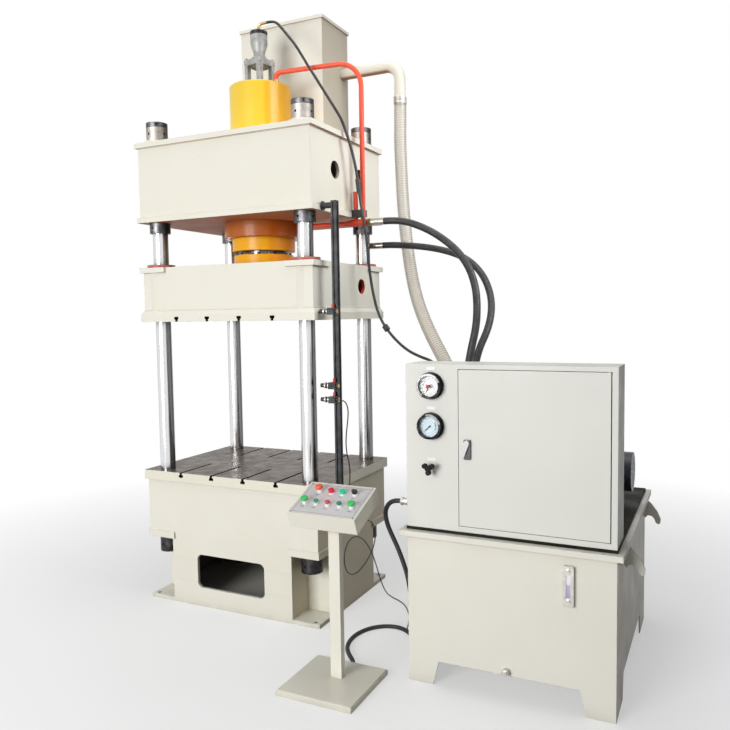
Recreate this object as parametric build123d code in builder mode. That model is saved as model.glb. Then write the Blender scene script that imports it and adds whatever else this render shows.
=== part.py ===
"""Four-column hydraulic press with its power pack and operator's console.

Millimetres. The origin is on the floor under the middle of the press bed, +X runs to the right
along the front of the press, +Y runs to its back and +Z is up. The power pack stands to the right
of the press and the console stands in front of the right column.
"""
import os
from math import atan, cos, degrees, pi, radians, sin, sqrt, tan

from build123d import *

os.makedirs("parts", exist_ok=True)

# Gaps that let a piece move, screw on or drop in
FIT = 0.3
THREAD_GAP = 0.2
PANEL_GAP = 2.5

# Press base, a hollow box with a pocket at each corner for the column nut
BASE_W = 1252.0
BASE_D = 912.0
BASE_WALL = 20.0
BASE_TOP_T = 25.0
FOOT_T = 25.0
NUT_ROOM_X = 27.0
NUT_ROOM_Y = 37.5
NUT_PLATE_Z = 409.0
NUT_PLATE_T = 40.0
NUT_PLATE_OUT = 8.0
WINDOW_W = 500.0
WINDOW_H = 212.0
WINDOW_Z = 119.0
WINDOW_R = 35.0
ANCHOR_R = 14.0
ANCHOR_INSET_X = 37.0
ANCHOR_INSET_Y = 30.0

# Bed plate and its T-slots, which stop short of the middle
TABLE_W = 1295.0
TABLE_D = 933.0
TABLE_T = 60.0
BED_Z = 840.0
SLOT_X = (-352.5, -117.5, 117.5, 352.5)
SLOT_STOP = 159.0
SLOT_NECK_W = 18.0
SLOT_NECK_H = 14.0
SLOT_HEAD_W = 32.0
SLOT_HEAD_H = 16.0

# Columns and their round nuts
COLUMN_R = 47.5
COLUMN_X = 534.0
COLUMN_Y = 372.5
THREAD_R = 44.0
COLUMN_CHAMFER = 3.0
NUT_SEAT_R = 79.0
NUT_SEAT_H = 14.0
TOP_NUT_R = 66.0
TOP_NUT_H = 86.0
LOCK_RING_H = 28.0
COLLAR_R = 64.0
COLLAR_H = 64.0
BASE_NUT_R = 64.0
BASE_NUT_H = 92.0
WASHER_R = 56.0
WASHER_T = 12.0
SPANNER_HOLE_R = 7.0
SPANNER_HOLE_DEPTH = 12.0
SPANNER_HOLES = 4
SPANNER_TURN = -8.0
NUT_GROOVE_W = 3.0
NUT_GROOVE_DEPTH = 3.0

# Crown, the hollow beam across the top of the columns
CROWN_Z = 2411.0
CROWN_H = 494.0
CROWN_PLATE_T = 31.0
CROWN_TOP_W = 1285.0
CROWN_BOTTOM_W = 1278.0
CROWN_PLATE_D = 930.0
CROWN_BODY_W = 1244.0
CROWN_BODY_D = 904.0
CROWN_WALL = 20.0
COLUMN_SLEEVE_R = 75.0
CYLINDER_SLEEVE_R = 225.0
CROWN_HOLE_R = 52.5
CROWN_HOLE_Y = 160.0
CROWN_HOLE_Z = 2673.0

# Main cylinder, ram and gland
CYLINDER_R = 195.0
CYLINDER_TOP = 3275.0
CYLINDER_BORE_R = 160.0
CYLINDER_HEAD_T = 70.0
CYLINDER_FLANGE_R = 250.0
CYLINDER_FLANGE_H = 97.0
CYLINDER_CHAMFER = 8.0
RIM_CHAMFER = 3.0
GLAND_R = 202.0
GLAND_H = 84.0
ROD_R = 140.0
ROD_FLANGE_R = 192.0
ROD_FLANGE_H = 77.0
PISTON_H = 140.0
PISTON_CLEARANCE = 10.0
FLANGE_BOLTS = 16
FLANGE_BOLT_R = 10.0
FLANGE_BOLT_H = 12.0
FLANGE_BOLT_PCD_R = 170.0
PORT_R = 38.0
PORT_BOSS_R = 24.0
PORT_BOSS_IN = 12.0
PORT_BOSS_OUT = 14.0

# Slide, the moving beam, drawn at the top of its stroke
SLIDE_Z = 1789.0
SLIDE_H = 341.0
SLIDE_PLATE_W = 1275.0
SLIDE_PLATE_D = 920.0
SLIDE_PLATE_T = 45.0
SLIDE_WELD_H = 28.0
SLIDE_BODY_W = 1238.0
SLIDE_BODY_D = 884.0
SLIDE_WALL = 22.0
SLIDE_TOP_T = 30.0
PAD_W = 195.0
PAD_D = 200.0
PAD_T = 32.0
SLIDE_SLEEVE_R = 74.0
BUSH_R = 58.0
BUSH_FLANGE_R = 86.0
BUSH_FLANGE_T = 12.0
WIPER_R = 88.0
WIPER_T = 6.0
SLIDE_HOLE_R = 48.0
SLIDE_HOLE_Y = 172.0
SLIDE_HOLE_Z = 1995.0

# Prefill valve on top of the cylinder
VALVE_W = 138.0
VALVE_TURN = 11.0
VALVE_H = 170.0
VALVE_CORNER_R = 8.0
VALVE_FLOOR_T = 8.0
VALVE_ROOF_T = 32.0
VALVE_CAVITY_R = 54.0
VALVE_WINDOW_W = 78.0
VALVE_WINDOW_RISE = 6.0
VALVE_WINDOW_SILL = 10.0
VALVE_EAR_R = 15.0
VALVE_EAR_H = 26.0
VALVE_EAR_OUT = 4.0
VALVE_BOLT_R = 9.0
VALVE_BOLT_H = 12.0
POPPET_R = 46.0
POPPET_T = 12.0
POPPET_CHAMFER = 2.0
POPPET_LIFT = 12.0
STEM_R = 10.0
STEM_ROOM = 8.0
NECK_FLANGE_R = 50.0
NECK_FLANGE_T = 14.0
NECK_R = 36.0
NECK_H = 47.0
NECK_BOLTS = 8
NECK_BOLT_R = 5.0
NECK_BOLT_H = 8.0
NECK_BOLT_INSET = 6.0
PILOT_R = 54.0
PILOT_CONE_H = 56.0
PILOT_H = 55.0
PILOT_CAP_T = 23.0
PILOT_CAP_LIP = 1.0

# Overhead oil tank and its return pipe
HEAD_TANK_W = 634.0
HEAD_TANK_Y = 258.0
HEAD_TANK_D = 358.0
HEAD_TANK_TOP = 3768.0
HEAD_TANK_WALL = 5.0
LID_OVERHANG = 9.0
LID_SKIRT = 17.0
LID_T = 3.0
BRACKET_DROP = 165.0
BRACKET_T = 12.0
BRACKET_X = 200.0
RETURN_R = 38.0
RETURN_WALL = 4.0
RETURN_X = 748.0
RETURN_Y = 533.0
RETURN_Z = 3462.0
RETURN_END_Z = 3229.0
RETURN_BEND_R = 95.0
SPIGOT_H = 33.0

# Red pressure piping on the right of the crown
PIPE_R = 15.0
PIPE_BORE_R = 11.0
PIPE_Y = 40.0
PIPE_X = 704.0
PIPE_RUN_Z = 3347.0
PIPE_START = (134.0, -20.0)
PIPE_START_BEND_R = 35.0
PIPE_BEND_R = 150.0
LOWER_PIPE_Z = 2379.0
LOWER_PIPE_END = 741.0
STUB_X = 654.0
STUB_R = 14.0
STUB_TOP = 2570.0
TEE_R = 21.0
TEE_X = 632.0
REDUCER_L = 46.0
UNION_R = 19.0
UNION_H = 26.0
REAR_PIPE_X = 498.0
REAR_PIPE_Y = 445.0
REAR_PIPE_Z = 2275.0
REAR_PIPE_END = 548.0
REAR_PIPE_R = 12.0
REAR_PIPE_BORE_R = 8.0
REAR_BEND_R = 26.0
CLAMP_W = 78.0
CLAMP_D = 56.0
CLAMP_H = 42.0
CLAMP_Z = 2414.0

# Limit rail with its proximity switches
RAIL_X = 720.0
RAIL_Y = -355.0
RAIL_W = 34.0
RAIL_Z = 655.0
RAIL_TOP = 2460.0
RAIL_GROOVE_W = 12.0
RAIL_GROOVE_H = 7.0
STANDOFF_R = 17.0
STANDOFF_FLANGE_R = 26.0
STANDOFF_FLANGE_T = 10.0
STANDOFF_TOP_Z = 2436.0
STANDOFF_LOW_Z = 700.0
SWITCH_Z = (1337.0, 1417.0, 1837.0)
SWITCH_Y = -412.0
SWITCH_R = 12.0
SWITCH_L = 112.0
SWITCH_SENSE_GAP = 6.0
SWITCH_CLAMP_W = 44.0
SWITCH_CLAMP_H = 38.0
SWITCH_CLAMP_LIP = 8.0
SWITCH_NUT_R = 17.0
SWITCH_NUT_T = 8.0
SWITCH_NUT_OUT = 26.0
CLAMP_SCREW_R = 8.0
CLAMP_SCREW_H = 20.0
CLAMP_SCREW_X = 6.0
CLAMP_SCREW_Y = 14.0

# Power pack: tank on four legs, cover, cabinet
PACK_X = 1815.0
PACK_Y = -776.0
TANK_W = 986.0
TANK_D = 1229.0
TANK_T = 6.0
TANK_FLOOR_Z = 120.0
LIP_TOP = 765.0
LIP_H = 27.0
LIP_OUT = 30.0
LIP_FRONT = 40.0
LEG_FOOT_X = 127.0
LEG_FOOT_Y = 225.0
LEG_SLANT = 30.0
COVER_T = 14.0
COVER_INSET = 3.0
HOOK_Y = (-560.0, 330.0)
HOOK_T = 12.0
HOOK_SHAPE = (
    (0.0, -80.0), (0.0, 0.0), (30.0, 0.0), (46.0, -14.0), (78.0, -56.0), (96.0, -98.0), (94.0, -122.0),
    (82.0, -128.0), (70.0, -120.0), (62.0, -98.0), (48.0, -84.0), (28.0, -82.0), (14.0, -98.0),
)
CABINET_W = 986.0
CABINET_D = 209.0
CABINET_H = 797.0
CABINET_T = 3.0
DOOR_X0 = -228.0
DOOR_X1 = 467.0
DOOR_LOW = 26.0
DOOR_HIGH = 775.0
DOOR_T = 22.0
DOOR_SKIN = 2.5
HINGE_GAP = 4.5
HINGE_INSET = 10.0
HINGE_R = 4.0
HINGE_PIN_L = 20.0
HINGE_BLOCK = 24.0

# Door lock
LATCH_X = -182.0
LATCH_Z = 1176.0
LATCH_W = 34.0
LATCH_H = 94.0
LATCH_T = 9.0
LATCH_CORNER_R = 5.0
LEVER_W = 25.0
LEVER_L = 84.0
LEVER_T = 13.0
LEVER_TILT = 20.0
LEVER_CORNER_R = 11.25
LEVER_PIVOT = 32.0
LATCH_PIN_R = 5.0
CAM_L = 58.0
CAM_W = 16.0
CAM_T = 4.0

# Mounting plate inside the cabinet, with rails of breakers
PLATE_INSET = 60.0
PLATE_T = 4.0
ROW_Z = (150.0, 350.0, 550.0)
ROW_H = 35.0
ROW_T = 8.0
ROW_INSET = 90.0
BREAKERS = 6
BREAKER_INSET = 110.0
BREAKER_PITCH = 78.0
BREAKER_W = 62.0
BREAKER_D = 66.0
BREAKER_LOW = 32.0
BREAKER_HIGH = 66.0

# Gauges, throttle knob and blank labels on the left panel
GAUGE_X = -363.0
GAUGE_Z = (1472.0, 1279.0)
GAUGE_FLANGE_R = 66.0
GAUGE_FLANGE_T = 5.0
GAUGE_R = 56.0
GAUGE_DEPTH = 31.0
GAUGE_DISH = 14.0
DIAL_R = 51.5
DIAL_T = 2.0
GAUGE_WALL = 4.0
BEZEL_R = 60.0
BEZEL_INNER_R = 50.0
BEZEL_T = 8.0
GLASS_T = 3.0
GLASS_INSET = 2.0
NEEDLE_L = 38.0
NEEDLE_W = 3.4
NEEDLE_T = 1.6
NEEDLE_TAIL = 6.0
NEEDLE_STAND = 5.0
NEEDLE_TURN = (-150.0, -132.0)
HUB_R = 4.5
SETTING_KNOB_R = 9.0
SETTING_KNOB_H = 11.0
SETTING_BAR_W = 6.0
SETTING_BAR_H = 4.0
KNOB_Z = 1081.0
KNOB_HUB_R = 14.0
KNOB_LOBE_R = 12.0
KNOB_LOBE_OUT = 21.0
KNOB_H = 26.0
KNOB_LOBE_STEP = 4.0
KNOB_STANDOFF = 32.0
SPINDLE_R = 7.0
VALVE_NUT_R = 15.0
VALVE_NUT_T = 6.0
THROTTLE_W = 50.0
THROTTLE_D = 70.0
THROTTLE_END_T = 10.0
SPINDLE_END_GAP = 10.0
LABEL_W = 44.0
LABEL_H = 15.0
LABEL_T = 1.0
LABEL_Z = (1555.0, 1365.0, 1118.0)

# Gland, level gauge and drain on the pack
GLAND_Y = -740.0
GLAND_Z = 888.0
CABLE_GLAND_R = 17.0
CABLE_GLAND_L = 46.0
CABLE_GLAND_NUT_R = 21.0
CABLE_GLAND_NUT_T = 12.0
LEVEL_X = 287.0
LEVEL_Z = 594.0
LEVEL_W = 48.0
LEVEL_H = 184.0
LEVEL_T = 20.0
LEVEL_CORNER_R = 6.0
LEVEL_RECESS = 4.0
LEVEL_SLOT_W = 20.0
LEVEL_SLOT_H = 104.0
LEVEL_BOLT_R = 10.0
LEVEL_BOLT_H = 8.0
LEVEL_BOLT_Z = 69.0
DRAIN_R = 16.0
DRAIN_L = 26.0
DRAIN_Z = 142.0
DRAIN_HEX_L = 8.0
DRAIN_HEX_R = 11.2

# Motor, pump and valve block on the tank cover
MOTOR_X = (1930.0, 2228.0)
MOTOR_Y = 20.0
MOTOR_Z = 962.0
MOTOR_R = 104.0
MOTOR_BORE_R = 72.0
MOTOR_END_T = 14.0
COWL_L = 58.0
COWL_T = 3.0
COWL_LAP = 30.0
COWL_HOLE_R = 6.0
COWL_HOLE_RINGS = ((8, 30.0), (12, 52.0), (16, 74.0))
FIN_COUNT = 28
FIN_H = 12.0
FIN_T = 4.0
FIN_INSET = 20.0
MOTOR_FOOT_W = 46.0
MOTOR_FOOT_SPREAD = 86.0
MOTOR_FOOT_INSET = 30.0
MOTOR_FOOT_DROP = 40.0
TERMINAL_BOX_INSET = 90.0
TERMINAL_BOX_W = 120.0
TERMINAL_BOX_Z0 = 70.0
TERMINAL_BOX_Z1 = 140.0
ROTOR_R = 66.0
ROTOR_INSET = 40.0
SHAFT_R = 19.0
FAN_R = 88.0
FAN_T = 6.0
FAN_GAP = 10.0
SHAFT_END_GAP = 8.0
BLADE_H = 26.0
BLADE_T = 4.0
BLADES = 7
BELL_R = 88.0
BELL_L = 78.0
BELL_T = 9.0
PUMP_L = 150.0
PUMP_W = 122.0
PUMP_CORNER_R = 14.0
PUMP_SHAFT_R = 12.0
PUMP_SHAFT_IN = 100.0
PUMP_LINE_X = 60.0
PUMP_LINE_Y = -150.0
PUMP_LINE_DROP = 27.0
PUMP_LINE_BEND_R = 40.0
PUMP_LINE_R = 11.0
SUCTION_R = 24.0
COUPLING_R = 34.0
COUPLING_GAP = 16.0
MANIFOLD_X = (1390.0, 1590.0)
MANIFOLD_Y = (-330.0, -70.0)
MANIFOLD_H = 180.0
VALVE_ROW_X = 92.0
VALVE_ROW_H = 40.0
VALVE_INSET_Y = 60.0
VALVE_BODY_W = 46.0
VALVE_BODY_L = 78.0
VALVE_BODY_H = 60.0
VALVE_COIL_L = 72.0
VALVE_COIL_H = 62.0
VALVE_COIL_OUT = 4.0
VALVE_COIL_LIFT = 3.0
VALVE_TIP_L = 16.0
VALVE_TIP_R = 11.0
FITTING_R = 20.0
FITTING_H = 50.0
HOSE_PORTS = ((1445.0, -270.0), (1445.0, -130.0))
PILOT_PORT = (1420.0, -200.0)
PILOT_FITTING_R = 11.0
PILOT_FITTING_H = 30.0
RETURN_PORT = (1405.0, 85.0)
RETURN_PORT_TOP = 850.0
RETURN_FLANGE_R = 62.0
RETURN_FLANGE_T = 14.0
ELBOW_BASE_R = 13.0
ELBOW_BASE_H = 16.0
ELBOW_BEND_R = 24.0
ELBOW_H = 50.0
ELBOW_REACH = 62.0

# Console on its stand
STAND_X = 1001.0
STAND_Y = -980.0
STAND_BASE_W = 407.0
STAND_BASE_D = 406.0
STAND_BASE_H = 28.0
STAND_T = 3.0
STAND_CHAMFER = 6.0
POST_X = 8.0
POST_Y = 37.0
POST_W = 60.0
POST_D = 36.0
CONSOLE_W = 367.0
CONSOLE_L = 263.0
CONSOLE_H = 83.0
CONSOLE_T = 3.0
CONSOLE_RIM = 9.0
CONSOLE_LEDGE = 12.0
CONSOLE_FRONT_Y = -99.0
CONSOLE_FRONT_Z = 868.0
CONSOLE_TILT = 21.9
FACE_GAP = 1.5
UPPER_ROW = 190.0
LOWER_ROW = 90.0
ESTOP_U = -96.0
LAMP_U = (-29.0, 34.0)
SELECTOR_U = 101.0
BUTTON_U = (-128.0, -64.0, 0.0, 64.0, 130.0)
BUTTON_HOLE_R = 11.0
BUTTON_STEM_R = 8.0
COLLAR_RIM_R = 14.0
BARREL_L = 42.0
MUSHROOM_COLLAR_H = 17.0
SMALL_COLLAR_H = 13.0
MUSHROOM_R = 20.0
MUSHROOM_H = 12.0
ESTOP_R = 19.5
ESTOP_H = 16.0
DOME_SHARE = 0.6
STEM_END = 4.0
SMALL_R = 13.5
SMALL_H = 7.0
PRESS_TRAVEL = 4.0
PRESS_GAP = 4.6
LAMP_R = 15.5
LAMP_H = 20.0
LAMP_RIM_R = 17.0
LAMP_RIM_H = 7.0
SELECTOR_R = 13.5
SELECTOR_COLLAR_H = 12.0
SELECTOR_BASE_H = 7.0
SELECTOR_H = 18.0
SELECTOR_BAR_W = 12.0
SELECTOR_STEM_END = 8.0
NOTCH_W = 34.0

# Hoses, cables and the sleeves on them
THICK_HOSE_R = 21.0
CLEAR_HOSE_R = 41.0
PILOT_HOSE_R = 8.5
CONDUIT_R = 11.3
SENSOR_CABLE_R = 3.5
SLEEVE_R = 15.5
SLEEVE_L = 84.0
CLIP_R = 19.0
CLIP_L = 34.0
BAND_T = 3.0
BAND_H = 16.0
BAND_INSET = 4.0
FERRULE_L = 84.0
FERRULE_HEX_L = 20.0
FERRULE_HEX_OUT = 9.0
FERRULE_WALL = 0.5

# Levels and faces that follow from the sizes above
BASE_TOP = BED_Z - TABLE_T
CROWN_TOP = CROWN_Z + CROWN_H
SLIDE_TOP = SLIDE_Z + SLIDE_H
FLANGE_Z = CROWN_Z - CYLINDER_FLANGE_H
GLAND_RING_Z = FLANGE_Z - GLAND_H
ROD_FLANGE_TOP = SLIDE_TOP + ROD_FLANGE_H
BORE_TOP = CYLINDER_TOP - CYLINDER_HEAD_T
PISTON_TOP = BORE_TOP - PISTON_CLEARANCE
VALVE_TOP = CYLINDER_TOP + VALVE_H
PILOT_Z = VALVE_TOP + NECK_H
PILOT_CAP_Z = PILOT_Z + PILOT_CONE_H + PILOT_H
ELBOW_Z = PILOT_CAP_Z + PILOT_CAP_T
COVER_TOP = LIP_TOP + COVER_T
CABINET_TOP = COVER_TOP + CABINET_H
TANK_X0 = PACK_X - TANK_W / 2
TANK_X1 = PACK_X + TANK_W / 2
TANK_BACK = PACK_Y + TANK_D
MANIFOLD_TOP = COVER_TOP + MANIFOLD_H
COLUMNS = (
    (-COLUMN_X, -COLUMN_Y),
    (COLUMN_X, -COLUMN_Y),
    (-COLUMN_X, COLUMN_Y),
    (COLUMN_X, COLUMN_Y),
)
FACE = Plane(
    origin=(STAND_X, STAND_Y + CONSOLE_FRONT_Y, CONSOLE_FRONT_Z),
    x_dir=(1, 0, 0),
    z_dir=(0, -sin(radians(CONSOLE_TILT)), cos(radians(CONSOLE_TILT))),
)


def save(piece, name):
    """Label a finished piece and write it."""
    piece.part.label = name
    export_step(piece.part, f"parts/{name}.step")


def save_welded(plates, name):
    """Write plates that are welded together as one piece, each plate still a solid."""
    solids = [solid for plate in plates for solid in plate.part.solids()]
    export_step(Compound(solids, label=name), f"parts/{name}.step")


def block(x0, x1, y0, y1, z0, z1, mode=Mode.ADD):
    """A box between two corners."""
    with Locations(((x0 + x1) / 2, (y0 + y1) / 2, (z0 + z1) / 2)):
        Box(abs(x1 - x0), abs(y1 - y0), abs(z1 - z0), mode=mode)


def upright(x, y, z0, z1, radius, mode=Mode.ADD):
    """A round bar that stands up."""
    with Locations((x, y, (z0 + z1) / 2)):
        Cylinder(radius, z1 - z0, mode=mode)


def along_x(x0, x1, y, z, radius, mode=Mode.ADD):
    """A round bar along X."""
    with Locations(((x0 + x1) / 2, y, z)):
        Cylinder(radius, x1 - x0, rotation=(0, 90, 0), mode=mode)


def along_y(x, y0, y1, z, radius, mode=Mode.ADD):
    """A round bar along Y."""
    with Locations((x, (y0 + y1) / 2, z)):
        Cylinder(radius, y1 - y0, rotation=(90, 0, 0), mode=mode)


def tube(points, radii, outer, inner=0.0):
    """A tube, or a bar, along straight runs joined by arcs."""
    with BuildLine() as route:
        FilletPolyline(*points, radius=radii)
    start = Vector(*points[0])
    with BuildSketch(Plane(origin=start, z_dir=Vector(*points[1]) - start)) as section:
        Circle(outer)
        if inner > 0:
            Circle(inner, mode=Mode.SUBTRACT)
    sweep(sections=section.sketch, path=route.wires()[0])
    return route.wires()[0].length


def spanner_nut(x, y, z0, height, outer, inner, rows, groove_z=None):
    """A round nut with rows of holes for a pin spanner."""
    upright(x, y, z0, z0 + height, outer)
    upright(x, y, z0, z0 + height, inner, mode=Mode.SUBTRACT)
    if groove_z is not None:
        with Locations((x, y, groove_z)):
            Cylinder(outer, NUT_GROOVE_W, mode=Mode.SUBTRACT)
            Cylinder(outer - NUT_GROOVE_DEPTH, NUT_GROOVE_W)
            Cylinder(inner, NUT_GROOVE_W, mode=Mode.SUBTRACT)
    for row, z in enumerate(rows):
        for turn in range(SPANNER_HOLES):
            angle = SPANNER_TURN + 360 / SPANNER_HOLES * (turn + 0.5 * row)
            with Locations(Location((x, y, z), (0, 0, angle))):
                with Locations((outer, 0, 0)):
                    Cylinder(SPANNER_HOLE_R, 2 * SPANNER_HOLE_DEPTH, rotation=(0, 90, 0), mode=Mode.SUBTRACT)


def t_slots(half_depth, face_z, inward):
    """T-slots cut from the front and back edges of a plate; inward is -1 for down, +1 for up."""
    neck_z = face_z + inward * SLOT_NECK_H
    head_z = neck_z + inward * SLOT_HEAD_H
    for x in SLOT_X:
        for side in (-1, 1):
            y0 = side * half_depth
            y1 = side * SLOT_STOP
            block(x - SLOT_NECK_W / 2, x + SLOT_NECK_W / 2, y0, y1, face_z, neck_z, mode=Mode.SUBTRACT)
            block(x - SLOT_HEAD_W / 2, x + SLOT_HEAD_W / 2, y0, y1, neck_z, head_z, mode=Mode.SUBTRACT)


# Base of the press: plates welded along their edges. First the foot plate and the top plate
half_w = BASE_W / 2
half_d = BASE_D / 2
top_plate_z = BASE_TOP - BASE_TOP_T
nut_plate_top = NUT_PLATE_Z + NUT_PLATE_T
casing_x = COLUMN_X - BASE_NUT_R - NUT_ROOM_X - BASE_WALL
casing_y = COLUMN_Y - BASE_NUT_R - NUT_ROOM_Y - BASE_WALL
corners = [(side_x, side_y) for side_x in (-1, 1) for side_y in (-1, 1)]
with BuildPart() as base_foot:
    block(-half_w, half_w, -half_d, half_d, 0, FOOT_T)
    for side_x, side_y in corners:
        anchor_x = side_x * (half_w - ANCHOR_INSET_X)
        anchor_y = side_y * (half_d - ANCHOR_INSET_Y)
        upright(anchor_x, anchor_y, 0, FOOT_T, ANCHOR_R, mode=Mode.SUBTRACT)
with BuildPart() as base_top:
    block(-half_w, half_w, -half_d, half_d, top_plate_z, BASE_TOP)
    for x, y in COLUMNS:
        upright(x, y, top_plate_z, BASE_TOP, COLUMN_R + FIT, mode=Mode.SUBTRACT)

# Front and rear walls with their windows, in strips above, below and beside the window
with BuildPart() as base_window_walls:
    for side in (-1, 1):
        block(-casing_x, casing_x, side * (half_d - BASE_WALL), side * half_d, FOOT_T, nut_plate_top)
    with BuildSketch(Plane.XZ) as window:
        with Locations((0, WINDOW_Z + WINDOW_H / 2)):
            RectangleRounded(WINDOW_W, WINDOW_H, WINDOW_R)
    extrude(amount=half_d, both=True, mode=Mode.SUBTRACT)
    for seam_z in (WINDOW_Z + WINDOW_R, WINDOW_Z + WINDOW_H - WINDOW_R):
        split(bisect_by=Plane.XY.offset(seam_z), keep=Keep.BOTH)
with BuildPart() as base_upper_walls:
    for side in (-1, 1):
        block(-half_w, half_w, side * (half_d - BASE_WALL), side * half_d, nut_plate_top, top_plate_z)

# End walls, below and above the nut plates
with BuildPart() as base_end_walls:
    for side in (-1, 1):
        block(side * (half_w - BASE_WALL), side * half_w, -casing_y, casing_y, FOOT_T, nut_plate_top)
with BuildPart() as base_upper_ends:
    for side in (-1, 1):
        block(
            side * (half_w - BASE_WALL), side * half_w, BASE_WALL - half_d, half_d - BASE_WALL,
            nut_plate_top, top_plate_z,
        )

# Casing of each column nut: two inner walls, and the thick plate that the nut pulls against
with BuildPart() as base_casing_sides:
    for side_x, side_y in corners:
        block(
            side_x * casing_x, side_x * (casing_x + BASE_WALL), side_y * casing_y, side_y * half_d,
            FOOT_T, NUT_PLATE_Z,
        )
with BuildPart() as base_casing_backs:
    for side_x, side_y in corners:
        block(
            side_x * (casing_x + BASE_WALL), side_x * half_w,
            side_y * casing_y, side_y * (casing_y + BASE_WALL), FOOT_T, NUT_PLATE_Z,
        )
with BuildPart() as base_nut_plates:
    for side_x, side_y in corners:
        block(
            side_x * casing_x, side_x * (half_w + NUT_PLATE_OUT),
            side_y * casing_y, side_y * (half_d + NUT_PLATE_OUT), NUT_PLATE_Z, nut_plate_top,
        )
    for x, y in COLUMNS:
        upright(x, y, NUT_PLATE_Z, nut_plate_top, COLUMN_R + FIT, mode=Mode.SUBTRACT)
save_welded(
    (
        base_foot, base_top, base_window_walls, base_upper_walls, base_end_walls, base_upper_ends,
        base_casing_sides, base_casing_backs, base_nut_plates,
    ),
    "base_frame",
)

# Bed plate
with BuildPart() as table_plate:
    block(-TABLE_W / 2, TABLE_W / 2, -TABLE_D / 2, TABLE_D / 2, BASE_TOP, BED_Z)
    t_slots(TABLE_D / 2, BED_Z, -1)
    for x, y in COLUMNS:
        upright(x, y, BASE_TOP, BED_Z, COLUMN_R + FIT, mode=Mode.SUBTRACT)
save(table_plate, "table_plate")

# The four columns, thinner where the nuts screw on
column_foot = NUT_PLATE_Z - WASHER_T - BASE_NUT_H
seat_z = CROWN_TOP + NUT_SEAT_H
column_head = seat_z + TOP_NUT_H + LOCK_RING_H
with BuildPart() as columns:
    for x, y in COLUMNS:
        upright(x, y, column_foot, NUT_PLATE_Z, THREAD_R)
        upright(x, y, NUT_PLATE_Z, seat_z, COLUMN_R)
        upright(x, y, seat_z, column_head, THREAD_R)
    rims = columns.edges().filter_by(GeomType.CIRCLE)
    chamfer(rims.group_by(Axis.Z)[0] + rims.group_by(Axis.Z)[-1], COLUMN_CHAMFER)
save(columns, "columns")

# Round nuts that clamp the crown from above, with lock rings, and from below
with BuildPart() as crown_nuts:
    for x, y in COLUMNS:
        groove_z = seat_z + TOP_NUT_H
        rows = (seat_z + TOP_NUT_H / 2, groove_z + LOCK_RING_H / 2)
        spanner_nut(
            x, y, seat_z, TOP_NUT_H + LOCK_RING_H, TOP_NUT_R, THREAD_R + THREAD_GAP, rows, groove_z
        )
        spanner_nut(
            x, y, CROWN_Z - COLLAR_H, COLLAR_H, COLLAR_R, COLUMN_R + THREAD_GAP, (CROWN_Z - COLLAR_H / 2,)
        )
save(crown_nuts, "crown_nuts")

# Round nuts on their washers in the pockets of the base
with BuildPart() as base_nuts:
    for x, y in COLUMNS:
        nut_z = NUT_PLATE_Z - WASHER_T - BASE_NUT_H
        spanner_nut(x, y, nut_z, BASE_NUT_H, BASE_NUT_R, THREAD_R + THREAD_GAP, (nut_z + BASE_NUT_H / 2,))
        upright(x, y, NUT_PLATE_Z - WASHER_T, NUT_PLATE_Z, WASHER_R)
        upright(x, y, NUT_PLATE_Z - WASHER_T, NUT_PLATE_Z, THREAD_R + THREAD_GAP, mode=Mode.SUBTRACT)
save(base_nuts, "base_nuts")

# Crown: two plates, four walls, and sleeves round the columns and the cylinder
with BuildPart() as crown:
    half_w = CROWN_BODY_W / 2
    half_d = CROWN_BODY_D / 2
    plate_d = CROWN_PLATE_D / 2
    low = CROWN_Z + CROWN_PLATE_T
    high = CROWN_TOP - CROWN_PLATE_T
    block(-half_w, half_w, -half_d, half_d, low, high)
    block(
        -half_w + CROWN_WALL, half_w - CROWN_WALL, -half_d + CROWN_WALL, half_d - CROWN_WALL,
        low, high, mode=Mode.SUBTRACT,
    )
    block(-CROWN_BOTTOM_W / 2, CROWN_BOTTOM_W / 2, -plate_d, plate_d, CROWN_Z, low)
    block(-CROWN_TOP_W / 2, CROWN_TOP_W / 2, -plate_d, plate_d, high, CROWN_TOP)
    upright(0, 0, low, high, CYLINDER_SLEEVE_R)
    for x, y in COLUMNS:
        upright(x, y, low, high, COLUMN_SLEEVE_R)
        upright(x, y, CROWN_TOP, seat_z, NUT_SEAT_R)
    for x, y in COLUMNS:
        upright(x, y, CROWN_Z, seat_z, COLUMN_R + FIT, mode=Mode.SUBTRACT)
    upright(0, 0, CROWN_Z, CROWN_TOP, CYLINDER_R + FIT, mode=Mode.SUBTRACT)
    for y in (-CROWN_HOLE_Y, CROWN_HOLE_Y):
        along_x(half_w - CROWN_WALL, half_w, y, CROWN_HOLE_Z, CROWN_HOLE_R, mode=Mode.SUBTRACT)
        along_x(-half_w, -half_w + CROWN_WALL, y, CROWN_HOLE_Z, CROWN_HOLE_R, mode=Mode.SUBTRACT)
save(crown, "crown")

# Main cylinder with the flange that bears on the crown from below
with BuildPart() as cylinder_body:
    upright(0, 0, FLANGE_Z, CYLINDER_TOP, CYLINDER_R)
    chamfer(cylinder_body.edges().filter_by(GeomType.CIRCLE).group_by(Axis.Z)[-1], CYLINDER_CHAMFER)
    upright(0, 0, FLANGE_Z, CROWN_Z, CYLINDER_FLANGE_R)
    boss_x = sqrt(CYLINDER_FLANGE_R**2 - PIPE_Y**2)
    along_x(boss_x - PORT_BOSS_IN, boss_x + PORT_BOSS_OUT, PIPE_Y, LOWER_PIPE_Z, PORT_BOSS_R)
    upright(0, 0, FLANGE_Z, BORE_TOP, CYLINDER_BORE_R, mode=Mode.SUBTRACT)
    upright(0, 0, BORE_TOP, CYLINDER_TOP, PORT_R, mode=Mode.SUBTRACT)
save(cylinder_body, "cylinder_body")

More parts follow.
